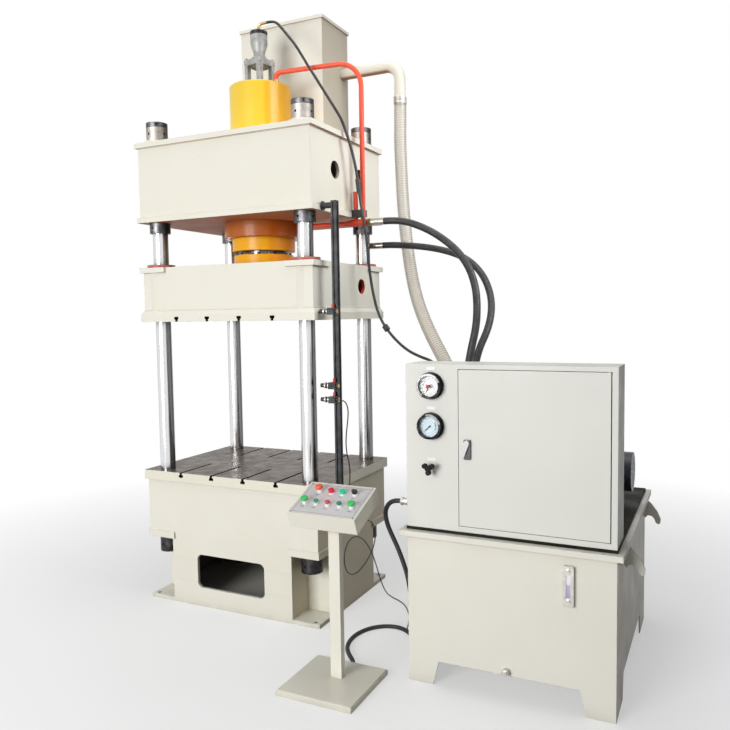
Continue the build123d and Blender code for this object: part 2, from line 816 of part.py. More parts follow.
with BuildPart() as gland_ring:
    upright(0, 0, GLAND_RING_Z, FLANGE_Z, GLAND_R)
    chamfer(gland_ring.edges().filter_by(GeomType.CIRCLE).group_by(Axis.Z)[0], RIM_CHAMFER)
    upright(0, 0, GLAND_RING_Z, FLANGE_Z, ROD_R + FIT, mode=Mode.SUBTRACT)
save(gland_ring, "gland_ring")

with BuildPart() as piston_rod:
    upright(0, 0, SLIDE_TOP, PISTON_TOP, ROD_R)
    upright(0, 0, PISTON_TOP - PISTON_H, PISTON_TOP, CYLINDER_BORE_R - FIT)
save(piston_rod, "piston_rod")

# Flange that bolts the rod to the slide
with BuildPart() as rod_flange:
    upright(0, 0, SLIDE_TOP, ROD_FLANGE_TOP, ROD_FLANGE_R)
    chamfer(rod_flange.edges().filter_by(GeomType.CIRCLE).group_by(Axis.Z)[-1], RIM_CHAMFER)
    upright(0, 0, SLIDE_TOP, ROD_FLANGE_TOP, ROD_R + THREAD_GAP, mode=Mode.SUBTRACT)
    with BuildSketch(Plane.XY.offset(ROD_FLANGE_TOP)):
        with PolarLocations(FLANGE_BOLT_PCD_R, FLANGE_BOLTS):
            RegularPolygon(FLANGE_BOLT_R, 6)
    extrude(amount=FLANGE_BOLT_H)
save(rod_flange, "rod_flange")

# Slide: thick lower plate with a sloped weld, hollow body, corner pads
with BuildPart() as slide_block:
    half_w = SLIDE_BODY_W / 2
    half_d = SLIDE_BODY_D / 2
    plate_w = SLIDE_PLATE_W / 2
    plate_d = SLIDE_PLATE_D / 2
    plate_top = SLIDE_Z + SLIDE_PLATE_T
    block(-plate_w, plate_w, -plate_d, plate_d, SLIDE_Z, plate_top)
    with BuildSketch(Plane.XY.offset(plate_top)):
        Rectangle(SLIDE_PLATE_W, SLIDE_PLATE_D)
    extrude(amount=SLIDE_WELD_H, taper=degrees(atan((plate_d - half_d) / SLIDE_WELD_H)))
    block(-half_w, half_w, -half_d, half_d, plate_top, SLIDE_TOP)
    for side_x in (-1, 1):
        for side_y in (-1, 1):
            block(
                side_x * (plate_w - PAD_W), side_x * plate_w,
                side_y * (plate_d - PAD_D), side_y * plate_d,
                SLIDE_TOP - PAD_T, SLIDE_TOP,
            )
    block(
        -half_w + SLIDE_WALL, half_w - SLIDE_WALL, -half_d + SLIDE_WALL, half_d - SLIDE_WALL,
        plate_top, SLIDE_TOP - SLIDE_TOP_T, mode=Mode.SUBTRACT,
    )
    for x, y in COLUMNS:
        upright(x, y, plate_top, SLIDE_TOP - SLIDE_TOP_T, SLIDE_SLEEVE_R)
    for x, y in COLUMNS:
        upright(x, y, SLIDE_Z, SLIDE_TOP, BUSH_R, mode=Mode.SUBTRACT)
    for y in (-SLIDE_HOLE_Y, SLIDE_HOLE_Y):
        along_x(half_w - SLIDE_WALL, half_w, y, SLIDE_HOLE_Z, SLIDE_HOLE_R, mode=Mode.SUBTRACT)
        along_x(-half_w, -half_w + SLIDE_WALL, y, SLIDE_HOLE_Z, SLIDE_HOLE_R, mode=Mode.SUBTRACT)
    t_slots(plate_d, SLIDE_Z, 1)
save(slide_block, "slide_block")

# Guide bushes in the slide, and the red wiper rings under their flanges
with BuildPart() as guide_bushes:
    for x, y in COLUMNS:
        flange_z = SLIDE_TOP + WIPER_T
        upright(x, y, SLIDE_Z, flange_z, BUSH_R - THREAD_GAP)
        upright(x, y, flange_z, flange_z + BUSH_FLANGE_T, BUSH_FLANGE_R)
        upright(x, y, SLIDE_Z, flange_z + BUSH_FLANGE_T, COLUMN_R + FIT, mode=Mode.SUBTRACT)
save(guide_bushes, "guide_bushes")

with BuildPart() as wiper_rings:
    for x, y in COLUMNS:
        upright(x, y, SLIDE_TOP, SLIDE_TOP + WIPER_T, WIPER_R)
        upright(x, y, SLIDE_TOP, SLIDE_TOP + WIPER_T, BUSH_R, mode=Mode.SUBTRACT)
save(wiper_rings, "wiper_rings")

# Prefill valve: cast body with open windows, bolted on the cylinder head
with BuildPart() as prefill_valve:
    with Locations(Location((0, 0, CYLINDER_TOP + VALVE_H / 2), (0, 0, -VALVE_TURN))):
        Box(VALVE_W, VALVE_W, VALVE_H)
    fillet(prefill_valve.edges().filter_by(Axis.Z), VALVE_CORNER_R)
    ear = VALVE_W / 2 - VALVE_EAR_R + VALVE_EAR_OUT
    with Locations(Location((0, 0, VALVE_TOP), (0, 0, -VALVE_TURN))):
        with GridLocations(2 * ear, 2 * ear, 2, 2):
            with Locations((0, 0, -VALVE_EAR_H / 2)):
                Cylinder(VALVE_EAR_R, VALVE_EAR_H)
            with Locations((0, 0, VALVE_BOLT_H / 2)):
                Cylinder(VALVE_BOLT_R, VALVE_BOLT_H)
    upright(0, 0, VALVE_TOP, VALVE_TOP + NECK_FLANGE_T, NECK_FLANGE_R)
    upright(0, 0, VALVE_TOP + NECK_FLANGE_T, PILOT_Z, NECK_R)
    with BuildSketch(Plane.XY.offset(VALVE_TOP + NECK_FLANGE_T)):
        with PolarLocations(NECK_FLANGE_R - NECK_BOLT_INSET, NECK_BOLTS):
            RegularPolygon(NECK_BOLT_R, 6)
    extrude(amount=NECK_BOLT_H)
    cavity_z = CYLINDER_TOP + VALVE_FLOOR_T
    cavity_top = VALVE_TOP - VALVE_ROOF_T
    upright(0, 0, cavity_z, cavity_top, VALVE_CAVITY_R, mode=Mode.SUBTRACT)
    window_z = (cavity_z + cavity_top) / 2 + VALVE_WINDOW_RISE
    window_h = cavity_top - cavity_z - 2 * VALVE_WINDOW_SILL
    with Locations(Location((0, 0, window_z), (0, 0, -VALVE_TURN))):
        Box(VALVE_W + VALVE_EAR_R, VALVE_WINDOW_W, window_h, mode=Mode.SUBTRACT)
        Box(VALVE_WINDOW_W, VALVE_W + VALVE_EAR_R, window_h, mode=Mode.SUBTRACT)
    upright(0, 0, CYLINDER_TOP, cavity_z, PORT_R, mode=Mode.SUBTRACT)
    upright(0, 0, cavity_top, PILOT_Z, STEM_R + FIT, mode=Mode.SUBTRACT)
save(prefill_valve, "prefill_valve")

poppet_z = CYLINDER_TOP + VALVE_FLOOR_T + FIT
stem_top = PILOT_Z + PILOT_CONE_H
with BuildPart() as prefill_poppet:
    upright(0, 0, poppet_z, poppet_z + POPPET_T, POPPET_R)
    chamfer(prefill_poppet.edges().filter_by(GeomType.CIRCLE), POPPET_CHAMFER)
    upright(0, 0, poppet_z + POPPET_T, stem_top, STEM_R)
save(prefill_poppet, "prefill_poppet")

with BuildPart() as pilot_cylinder:
    with BuildSketch(Plane.XZ) as profile:
        with BuildLine():
            Polyline(
                (0, PILOT_Z), (NECK_R, PILOT_Z), (PILOT_R, PILOT_Z + PILOT_CONE_H),
                (PILOT_R, PILOT_CAP_Z), (0, PILOT_CAP_Z), close=True,
            )
        make_face()
    revolve(axis=Axis.Z)
    upright(0, 0, PILOT_CAP_Z, ELBOW_Z, PILOT_R + PILOT_CAP_LIP)
    upright(0, 0, PILOT_Z, stem_top + POPPET_LIFT + STEM_ROOM, STEM_R + FIT, mode=Mode.SUBTRACT)
save(pilot_cylinder, "pilot_cylinder")

# Overhead oil tank, carried at the back by two gussets
tank_x = HEAD_TANK_W / 2
tank_y1 = HEAD_TANK_Y + HEAD_TANK_D
with BuildPart() as overhead_tank:
    block(-tank_x, tank_x, HEAD_TANK_Y, tank_y1, CROWN_TOP, HEAD_TANK_TOP)
    block(
        -tank_x + HEAD_TANK_WALL, tank_x - HEAD_TANK_WALL,
        HEAD_TANK_Y + HEAD_TANK_WALL, tank_y1 - HEAD_TANK_WALL,
        CROWN_TOP + HEAD_TANK_WALL, HEAD_TANK_TOP, mode=Mode.SUBTRACT,
    )
    for x in (-BRACKET_X, BRACKET_X):
        with BuildSketch(Plane.YZ.offset(x - BRACKET_T / 2)):
            with BuildLine():
                Polyline(
                    (CROWN_PLATE_D / 2, CROWN_TOP), (tank_y1, CROWN_TOP),
                    (CROWN_PLATE_D / 2, CROWN_TOP - BRACKET_DROP), close=True,
                )
            make_face()
        extrude(amount=BRACKET_T)
    along_x(tank_x - HEAD_TANK_WALL, tank_x, RETURN_Y, RETURN_Z, RETURN_R - RETURN_WALL, mode=Mode.SUBTRACT)
save(overhead_tank, "overhead_tank")

with BuildPart() as overhead_tank_lid:
    out = tank_x + LID_OVERHANG
    lid_z = HEAD_TANK_TOP - LID_SKIRT
    block(-out, out, HEAD_TANK_Y - LID_OVERHANG, tank_y1 + LID_OVERHANG, lid_z, HEAD_TANK_TOP + LID_T)
    block(
        -tank_x - FIT, tank_x + FIT, HEAD_TANK_Y - FIT, tank_y1 + FIT,
        lid_z, HEAD_TANK_TOP, mode=Mode.SUBTRACT,
    )
save(overhead_tank_lid, "overhead_tank_lid")

with BuildPart() as return_pipe:
    tube(
        [(tank_x, RETURN_Y, RETURN_Z), (RETURN_X, RETURN_Y, RETURN_Z), (RETURN_X, RETURN_Y, RETURN_END_Z)],
        RETURN_BEND_R, RETURN_R, RETURN_R - RETURN_WALL,
    )
    upright(RETURN_X, RETURN_Y, RETURN_END_Z, RETURN_END_Z + SPIGOT_H, CLEAR_HOSE_R)
    upright(
        RETURN_X, RETURN_Y, RETURN_END_Z, RETURN_END_Z + SPIGOT_H,
        RETURN_R - RETURN_WALL, mode=Mode.SUBTRACT,
    )
save(return_pipe, "return_pipe")

# Red pressure piping on the right, and the short pipe under the back of the crown
pipe_start_z = CYLINDER_TOP + UNION_H
with BuildPart() as pressure_pipes:
    pipe_x, pipe_y = PIPE_START
    tube(
        [(pipe_x, pipe_y, pipe_start_z), (pipe_x, pipe_y, PIPE_RUN_Z), (PIPE_X, PIPE_Y, PIPE_RUN_Z),
         (PIPE_X, PIPE_Y, LOWER_PIPE_Z)],
        [PIPE_START_BEND_R, PIPE_BEND_R], PIPE_R, PIPE_BORE_R,
    )
    along_x(boss_x + PORT_BOSS_OUT, LOWER_PIPE_END, PIPE_Y, LOWER_PIPE_Z, PIPE_R)
    along_x(TEE_X, LOWER_PIPE_END, PIPE_Y, LOWER_PIPE_Z, TEE_R)
    with Locations((TEE_X - REDUCER_L / 2, PIPE_Y, LOWER_PIPE_Z)):
        Cone(PIPE_R, TEE_R, REDUCER_L, rotation=(0, 90, 0))
    upright(STUB_X, PIPE_Y, LOWER_PIPE_Z, STUB_TOP, STUB_R)
    along_x(boss_x + PORT_BOSS_OUT, LOWER_PIPE_END, PIPE_Y, LOWER_PIPE_Z, PIPE_BORE_R, mode=Mode.SUBTRACT)
    tube(
        [(REAR_PIPE_X, REAR_PIPE_Y, CROWN_Z), (REAR_PIPE_X, REAR_PIPE_Y, REAR_PIPE_Z),
         (REAR_PIPE_END, REAR_PIPE_Y, REAR_PIPE_Z)],
        REAR_BEND_R, REAR_PIPE_R, REAR_PIPE_BORE_R,
    )
save(pressure_pipes, "pressure_pipes")

# Black clamp that holds the two upright pipes to the edge of the crown
with BuildPart() as pipe_clamp:
    clamp_x = CROWN_BOTTOM_W / 2
    clamp_y = PIPE_Y - CLAMP_D / 2
    block(clamp_x, clamp_x + CLAMP_W, clamp_y, clamp_y + CLAMP_D, CLAMP_Z, CLAMP_Z + CLAMP_H)
    upright(PIPE_X, PIPE_Y, CLAMP_Z, CLAMP_Z + CLAMP_H, PIPE_R + FIT, mode=Mode.SUBTRACT)
    upright(STUB_X, PIPE_Y, CLAMP_Z, CLAMP_Z + CLAMP_H, STUB_R + FIT, mode=Mode.SUBTRACT)
save(pipe_clamp, "pipe_clamp")

# Limit rail: a grooved square bar on two standoffs
with BuildPart() as limit_rail:
    half = RAIL_W / 2
    block(RAIL_X - half, RAIL_X + half, RAIL_Y - half, RAIL_Y + half, RAIL_Z, RAIL_TOP)
    block(
        RAIL_X - RAIL_GROOVE_W / 2, RAIL_X + RAIL_GROOVE_W / 2,
        RAIL_Y - half, RAIL_Y - half + RAIL_GROOVE_H, RAIL_Z, RAIL_TOP, mode=Mode.SUBTRACT,
    )
    block(
        RAIL_X + half - RAIL_GROOVE_H, RAIL_X + half,
        RAIL_Y - RAIL_GROOVE_W / 2, RAIL_Y + RAIL_GROOVE_W / 2, RAIL_Z, RAIL_TOP, mode=Mode.SUBTRACT,
    )
    for wall_x, z in ((CROWN_BOTTOM_W / 2, STANDOFF_TOP_Z), (BASE_W / 2, STANDOFF_LOW_Z)):
        along_x(wall_x, wall_x + STANDOFF_FLANGE_T, RAIL_Y, z, STANDOFF_FLANGE_R)
        along_x(wall_x + STANDOFF_FLANGE_T, RAIL_X - RAIL_W / 2, RAIL_Y, z, STANDOFF_R)
save(limit_rail, "limit_rail")

# Three proximity switches that watch the edge of the slide
switch_tip = SLIDE_PLATE_W / 2 + SWITCH_SENSE_GAP
with BuildPart() as switch_clamps:
    for z in SWITCH_Z:
        front = SWITCH_Y - SWITCH_R - SWITCH_CLAMP_LIP
        block(
            RAIL_X - SWITCH_CLAMP_W / 2, RAIL_X + SWITCH_CLAMP_W / 2,
            front, RAIL_Y - RAIL_W / 2, z - SWITCH_CLAMP_H / 2, z + SWITCH_CLAMP_H / 2,
        )
        along_x(
            RAIL_X - SWITCH_CLAMP_W / 2, RAIL_X + SWITCH_CLAMP_W / 2,
            SWITCH_Y, z, SWITCH_R + FIT, mode=Mode.SUBTRACT,
        )
        top = z + SWITCH_CLAMP_H / 2
        screw_y = RAIL_Y - RAIL_W / 2 - CLAMP_SCREW_Y
        upright(RAIL_X - CLAMP_SCREW_X, screw_y, top, top + CLAMP_SCREW_H, CLAMP_SCREW_R)
save(switch_clamps, "switch_clamps")

with BuildPart() as proximity_switches:
    for z in SWITCH_Z:
        along_x(switch_tip, switch_tip + SWITCH_L, SWITCH_Y, z, SWITCH_R)
        for nut_x in (switch_tip + SWITCH_NUT_OUT, RAIL_X - SWITCH_CLAMP_W / 2 - SWITCH_NUT_T):
            along_x(nut_x, nut_x + SWITCH_NUT_T, SWITCH_Y, z, SWITCH_NUT_R)
save(proximity_switches, "proximity_switches")

# Oil tank of the power pack, one weldment with its lip, legs and lifting hooks, and its drain plug
with BuildPart() as oil_tank:
    inner_x0 = TANK_X0 + TANK_T
    inner_x1 = TANK_X1 - TANK_T
    inner_y0 = PACK_Y + TANK_T
    inner_y1 = TANK_BACK - TANK_T
    block(TANK_X0, TANK_X1, PACK_Y, TANK_BACK, 0, LIP_TOP)
    block(
        TANK_X0 - LIP_OUT, TANK_X1 + LIP_OUT, PACK_Y - LIP_FRONT, TANK_BACK + LIP_FRONT,
        LIP_TOP - LIP_H, LIP_TOP,
    )
    block(inner_x0, inner_x1, inner_y0, inner_y1, TANK_FLOOR_Z + TANK_T, LIP_TOP, mode=Mode.SUBTRACT)
    block(inner_x0, inner_x1, inner_y0, inner_y1, 0, TANK_FLOOR_Z, mode=Mode.SUBTRACT)
    with BuildSketch(Plane.XZ.offset(-TANK_BACK)):
        with BuildLine():
            Polyline(
                (TANK_X0 + LEG_FOOT_X, 0), (TANK_X1 - LEG_FOOT_X, 0),
                (TANK_X1 - LEG_FOOT_X - LEG_SLANT, TANK_FLOOR_Z),
                (TANK_X0 + LEG_FOOT_X + LEG_SLANT, TANK_FLOOR_Z), close=True,
            )
        make_face()
    extrude(amount=TANK_D, mode=Mode.SUBTRACT)
    with BuildSketch(Plane.YZ.offset(TANK_X0)):
        with BuildLine():
            Polyline(
                (PACK_Y + LEG_FOOT_Y, 0), (TANK_BACK - LEG_FOOT_Y, 0),
                (TANK_BACK - LEG_FOOT_Y - LEG_SLANT, TANK_FLOOR_Z),
                (PACK_Y + LEG_FOOT_Y + LEG_SLANT, TANK_FLOOR_Z), close=True,
            )
        make_face()
    extrude(amount=TANK_W, mode=Mode.SUBTRACT)
    for y in HOOK_Y:
        with BuildSketch(Plane.XZ.offset(-y)):
            with BuildLine():
                low = LIP_TOP - LIP_H
                Polyline(*[(TANK_X1 + out, low + rise) for out, rise in HOOK_SHAPE], close=True)
            make_face()
        extrude(amount=HOOK_T)
    along_y(PACK_X, PACK_Y - DRAIN_L, PACK_Y, DRAIN_Z, DRAIN_R)
    with BuildSketch(Plane.XZ.offset(-(PACK_Y - DRAIN_L))):
        with Locations((PACK_X, DRAIN_Z)):
            RegularPolygon(DRAIN_HEX_R, 6)
    extrude(amount=DRAIN_HEX_L)
save(oil_tank, "oil_tank")

with BuildPart() as tank_cover:
    block(
        TANK_X0 - COVER_INSET, TANK_X1 + COVER_INSET, PACK_Y - COVER_INSET, TANK_BACK + COVER_INSET,
        LIP_TOP, COVER_TOP,
    )
save(tank_cover, "tank_cover")

# Sight gauge for the oil level: frame, window and two bolts
with BuildPart() as level_gauge:
    level_x = PACK_X + LEVEL_X
    with BuildSketch(Plane.XZ.offset(-PACK_Y)):
        with Locations((level_x, LEVEL_Z)):
            RectangleRounded(LEVEL_W, LEVEL_H, LEVEL_CORNER_R)
            Rectangle(LEVEL_SLOT_W, LEVEL_SLOT_H, mode=Mode.SUBTRACT)
    extrude(amount=LEVEL_T)
    block(
        level_x - LEVEL_SLOT_W / 2, level_x + LEVEL_SLOT_W / 2, PACK_Y - LEVEL_T + LEVEL_RECESS, PACK_Y,
        LEVEL_Z - LEVEL_SLOT_H / 2, LEVEL_Z + LEVEL_SLOT_H / 2,
    )
    for z in (LEVEL_Z - LEVEL_BOLT_Z, LEVEL_Z + LEVEL_BOLT_Z):
        front = PACK_Y - LEVEL_T
        along_y(level_x, front - LEVEL_BOLT_H, front, z, LEVEL_BOLT_R)
save(level_gauge, "level_gauge")

# Cabinet with a frame round its door opening, two hinge pins, three label plates and the conduit's gland
cab_x0 = PACK_X - CABINET_W / 2
cab_x1 = PACK_X + CABINET_W / 2
cab_y1 = PACK_Y + CABINET_D
door_x0 = PACK_X + DOOR_X0
door_x1 = PACK_X + DOOR_X1
door_z0 = COVER_TOP + DOOR_LOW
door_z1 = COVER_TOP + DOOR_HIGH
hinge_x = door_x1 - HINGE_GAP - HINGE_INSET
hinge_y = PACK_Y + HINGE_INSET
gauge_x = PACK_X + GAUGE_X
with BuildPart() as cabinet:
    block(cab_x0, cab_x1, PACK_Y, cab_y1, COVER_TOP, CABINET_TOP)
    block(
        cab_x0 + CABINET_T, cab_x1 - CABINET_T, PACK_Y + CABINET_T, cab_y1 - CABINET_T,
        COVER_TOP + CABINET_T, CABINET_TOP - CABINET_T, mode=Mode.SUBTRACT,
    )
    frame_out = CABINET_T
    block(
        door_x0 - frame_out, door_x1 + frame_out, PACK_Y, PACK_Y + DOOR_T,
        door_z0 - frame_out, door_z1 + frame_out,
    )
    block(door_x0, door_x1, PACK_Y, PACK_Y + DOOR_T, door_z0, door_z1, mode=Mode.SUBTRACT)
    along_y(gauge_x, PACK_Y, PACK_Y + CABINET_T, KNOB_Z, SPINDLE_R + FIT, mode=Mode.SUBTRACT)
    upright(hinge_x, hinge_y, door_z0, door_z0 + HINGE_PIN_L, HINGE_R)
    upright(hinge_x, hinge_y, door_z1 - HINGE_PIN_L, door_z1, HINGE_R)
    for z in LABEL_Z:
        block(
            gauge_x - LABEL_W / 2, gauge_x + LABEL_W / 2, PACK_Y - LABEL_T, PACK_Y,
            z - LABEL_H / 2, z + LABEL_H / 2,
        )
    along_x(cab_x0 - CABLE_GLAND_L, cab_x0, GLAND_Y, GLAND_Z, CABLE_GLAND_R)
    for nut_x in (cab_x0 - CABLE_GLAND_L, cab_x0 - CABLE_GLAND_NUT_T):
        with BuildSketch(Plane.YZ.offset(nut_x)):
            with Locations((GLAND_Y, GLAND_Z)):
                RegularPolygon(CABLE_GLAND_NUT_R, 6)
        extrude(amount=CABLE_GLAND_NUT_T)
save(cabinet, "cabinet")

# Door: a folded pan, hollow at the back, with a block at each hinge pin and the lock's housing
leaf_x0 = door_x0 + PANEL_GAP
leaf_x1 = door_x1 - HINGE_GAP
leaf_z0 = door_z0 + PANEL_GAP
leaf_z1 = door_z1 - PANEL_GAP
leaf_back = PACK_Y + DOOR_T
latch_x = PACK_X + LATCH_X
pivot_z = LATCH_Z + LEVER_PIVOT
with BuildPart() as cabinet_door:
    block(leaf_x0, leaf_x1, PACK_Y, leaf_back, leaf_z0, leaf_z1)
    block(
        leaf_x0 + DOOR_SKIN, leaf_x1 - DOOR_SKIN, PACK_Y + DOOR_SKIN, leaf_back,
        leaf_z0 + DOOR_SKIN, leaf_z1 - DOOR_SKIN, mode=Mode.SUBTRACT,
    )
    for z0, z1 in ((leaf_z0, leaf_z0 + HINGE_BLOCK), (leaf_z1 - HINGE_BLOCK, leaf_z1)):
        block(leaf_x1 - HINGE_BLOCK, leaf_x1, PACK_Y, leaf_back, z0, z1)
        upright(hinge_x, hinge_y, z0, z1, HINGE_R + FIT, mode=Mode.SUBTRACT)
    with BuildSketch(Plane.XZ.offset(-PACK_Y)):
        with Locations((latch_x, LATCH_Z)):
            RectangleRounded(LATCH_W, LATCH_H, LATCH_CORNER_R)
    extrude(amount=LATCH_T)
    along_y(latch_x, PACK_Y - LATCH_T, PACK_Y + DOOR_SKIN, pivot_z, LATCH_PIN_R + FIT, mode=Mode.SUBTRACT)
save(cabinet_door, "cabinet_door")

with BuildPart() as door_latch:
    lever_back = PACK_Y - LATCH_T - FIT
    with BuildSketch(Plane.XZ.offset(-lever_back)):
        with Locations(Location((latch_x, pivot_z), -LEVER_TILT)):
            with Locations((0, LEVER_W / 2 - LEVER_L / 2)):
                RectangleRounded(LEVER_W, LEVER_L, LEVER_CORNER_R)
    extrude(amount=LEVER_T)
    cam_y = leaf_back + FIT
    along_y(latch_x, lever_back, cam_y + CAM_T, pivot_z, LATCH_PIN_R)
    half = CAM_W / 2
    block(latch_x - half, latch_x + half, cam_y, cam_y + CAM_T, pivot_z - CAM_L, pivot_z + half)
save(door_latch, "door_latch")

# Electrical plate inside the cabinet, with its contactors and breakers
with BuildPart() as electrical_plate:
    plate_back = cab_y1 - CABINET_T
    plate_front = plate_back - PLATE_T
    row_front = plate_front - ROW_T
    block(
        door_x0 + PLATE_INSET, door_x1 - PLATE_INSET, plate_front, plate_back,
        door_z0 + PLATE_INSET, door_z1 - PLATE_INSET,
    )
    for z in ROW_Z:
        row_z = door_z0 + z
        block(door_x0 + ROW_INSET, door_x1 - ROW_INSET, row_front, plate_front, row_z, row_z + ROW_H)
        for step in range(BREAKERS):
            x = door_x0 + BREAKER_INSET + BREAKER_PITCH * step
            block(
                x, x + BREAKER_W, row_front - BREAKER_D, row_front,
                row_z - BREAKER_LOW, row_z + BREAKER_HIGH,
            )
save(electrical_plate, "electrical_plate")

# The two gauges: flanged case with its bezel and its dial, then the glass with the setting knob
case_front = PACK_Y - GAUGE_DEPTH
dial_front = case_front + GAUGE_DISH - DIAL_T
glass_front = case_front - BEZEL_T + GLASS_INSET
with BuildPart() as gauge_cases:
    for z in GAUGE_Z:
        along_y(gauge_x, PACK_Y - GAUGE_FLANGE_T, PACK_Y, z, GAUGE_FLANGE_R)
        along_y(gauge_x, case_front, PACK_Y - GAUGE_FLANGE_T, z, GAUGE_R)
        along_y(gauge_x, case_front, case_front + GAUGE_DISH, z, GAUGE_R - GAUGE_WALL, mode=Mode.SUBTRACT)
        along_y(gauge_x, dial_front, dial_front + DIAL_T, z, DIAL_R)
        along_y(gauge_x, case_front - BEZEL_T, case_front, z, BEZEL_R)
        along_y(gauge_x, case_front - BEZEL_T, case_front, z, BEZEL_INNER_R, mode=Mode.SUBTRACT)
save(gauge_cases, "gauge_cases")

with BuildPart() as gauge_glasses:
    for z in GAUGE_Z:
        along_y(gauge_x, glass_front, glass_front + GLASS_T, z, BEZEL_INNER_R)
    knob_front = glass_front - SETTING_KNOB_H
    along_y(gauge_x, knob_front, glass_front, GAUGE_Z[0], SETTING_KNOB_R)
    block(
        gauge_x - SETTING_BAR_W / 2, gauge_x + SETTING_BAR_W / 2, knob_front - SETTING_BAR_H, knob_front,
        GAUGE_Z[0] - SETTING_KNOB_R, GAUGE_Z[0] + SETTING_KNOB_R,
    )
save(gauge_glasses, "gauge_glasses")


def needle(z, turn):
    """A pointer on a hub, turned by an angle from straight up."""
    tip_y = dial_front - FIT - NEEDLE_STAND
    along_y(gauge_x, tip_y, dial_front - FIT, z, HUB_R)
    with Locations(Location((gauge_x, tip_y + NEEDLE_T / 2, z), (0, turn, 0))):
        with Locations((0, 0, NEEDLE_L / 2 - NEEDLE_TAIL)):
            Box(NEEDLE_W, NEEDLE_T, NEEDLE_L)


with BuildPart() as contact_needle:
    needle(GAUGE_Z[0], NEEDLE_TURN[0])
save(contact_needle, "contact_needle")

with BuildPart() as pressure_needle:
    needle(GAUGE_Z[1], NEEDLE_TURN[1])
save(pressure_needle, "pressure_needle")

# Throttle valve behind the panel with its nut in front, and the three-lobed knob on its spindle
with BuildPart() as throttle_valve:
    back = PACK_Y + CABINET_T
    half = THROTTLE_W / 2
    block(gauge_x - half, gauge_x + half, back, back + THROTTLE_D, KNOB_Z - half, KNOB_Z + half)
    bore_end = back + THROTTLE_D - THROTTLE_END_T
    along_y(gauge_x, back, bore_end, KNOB_Z, SPINDLE_R + FIT, mode=Mode.SUBTRACT)
    with BuildSketch(Plane.XZ.offset(-PACK_Y)):
        with Locations((gauge_x, KNOB_Z)):
            RegularPolygon(VALVE_NUT_R, 6)
            Circle(SPINDLE_R + FIT, mode=Mode.SUBTRACT)
    extrude(amount=VALVE_NUT_T)
save(throttle_valve, "throttle_valve")

with BuildPart() as star_knob:
    knob_back = PACK_Y - KNOB_STANDOFF
    along_y(gauge_x, knob_back - KNOB_H, knob_back, KNOB_Z, KNOB_HUB_R)
    for turn in range(3):
        angle = radians(60 + 120 * turn)
        lobe_x = gauge_x + KNOB_LOBE_OUT * sin(angle)
        lobe_z = KNOB_Z + KNOB_LOBE_OUT * cos(angle)
        along_y(lobe_x, knob_back - KNOB_H + KNOB_LOBE_STEP, knob_back - KNOB_LOBE_STEP, lobe_z, KNOB_LOBE_R)
    along_y(gauge_x, knob_back, bore_end - SPINDLE_END_GAP, KNOB_Z, SPINDLE_R)
save(star_knob, "star_knob")

# Motor: finned housing on two feet, with the fan cowl at its right end
motor_x0, motor_x1 = MOTOR_X
with BuildPart() as motor:
    along_x(motor_x0, motor_x1, MOTOR_Y, MOTOR_Z, MOTOR_R - FIN_H)
    for count in range(FIN_COUNT):
        turn = 360 / FIN_COUNT * count
        with Locations(Location(((motor_x0 + motor_x1) / 2, MOTOR_Y, MOTOR_Z), (turn, 0, 0))):
            with Locations((0, 0, MOTOR_R - FIN_H)):
                Box(motor_x1 - motor_x0 - 2 * FIN_INSET, FIN_T, 2 * FIN_H)
    for y in (MOTOR_Y - MOTOR_FOOT_SPREAD, MOTOR_Y + MOTOR_FOOT_SPREAD):
        half = MOTOR_FOOT_W / 2
        block(
            motor_x0 + MOTOR_FOOT_INSET, motor_x1 - MOTOR_FOOT_INSET, y - half, y + half,
            COVER_TOP, MOTOR_Z - MOTOR_FOOT_DROP,
        )
    half = TERMINAL_BOX_W / 2
    block(
        motor_x0 + TERMINAL_BOX_INSET, motor_x1 - TERMINAL_BOX_INSET, MOTOR_Y - half, MOTOR_Y + half,
        MOTOR_Z + TERMINAL_BOX_Z0, MOTOR_Z + TERMINAL_BOX_Z1,
    )
    along_x(
        motor_x0 + MOTOR_END_T, motor_x1 - MOTOR_END_T, MOTOR_Y, MOTOR_Z, MOTOR_BORE_R,
        mode=Mode.SUBTRACT,
    )
    along_x(motor_x0, motor_x1, MOTOR_Y, MOTOR_Z, SHAFT_R + FIT, mode=Mode.SUBTRACT)
    cowl_end = motor_x1 + COWL_L
    with BuildSketch(Plane.YZ.offset(motor_x1 - COWL_LAP)):
        with Locations((MOTOR_Y, MOTOR_Z)):
            Circle(MOTOR_R)
            Circle(MOTOR_R - COWL_T, mode=Mode.SUBTRACT)
    extrude(amount=COWL_L + COWL_LAP)
    along_x(cowl_end - COWL_T, cowl_end, MOTOR_Y, MOTOR_Z, MOTOR_R)
    for holes, out in COWL_HOLE_RINGS:
        for turn in range(holes):
            angle = 2 * pi * turn / holes
            y = MOTOR_Y + out * cos(angle)
            z = MOTOR_Z + out * sin(angle)
            along_x(cowl_end - COWL_T, cowl_end, y, z, COWL_HOLE_R, mode=Mode.SUBTRACT)
save(motor, "motor")

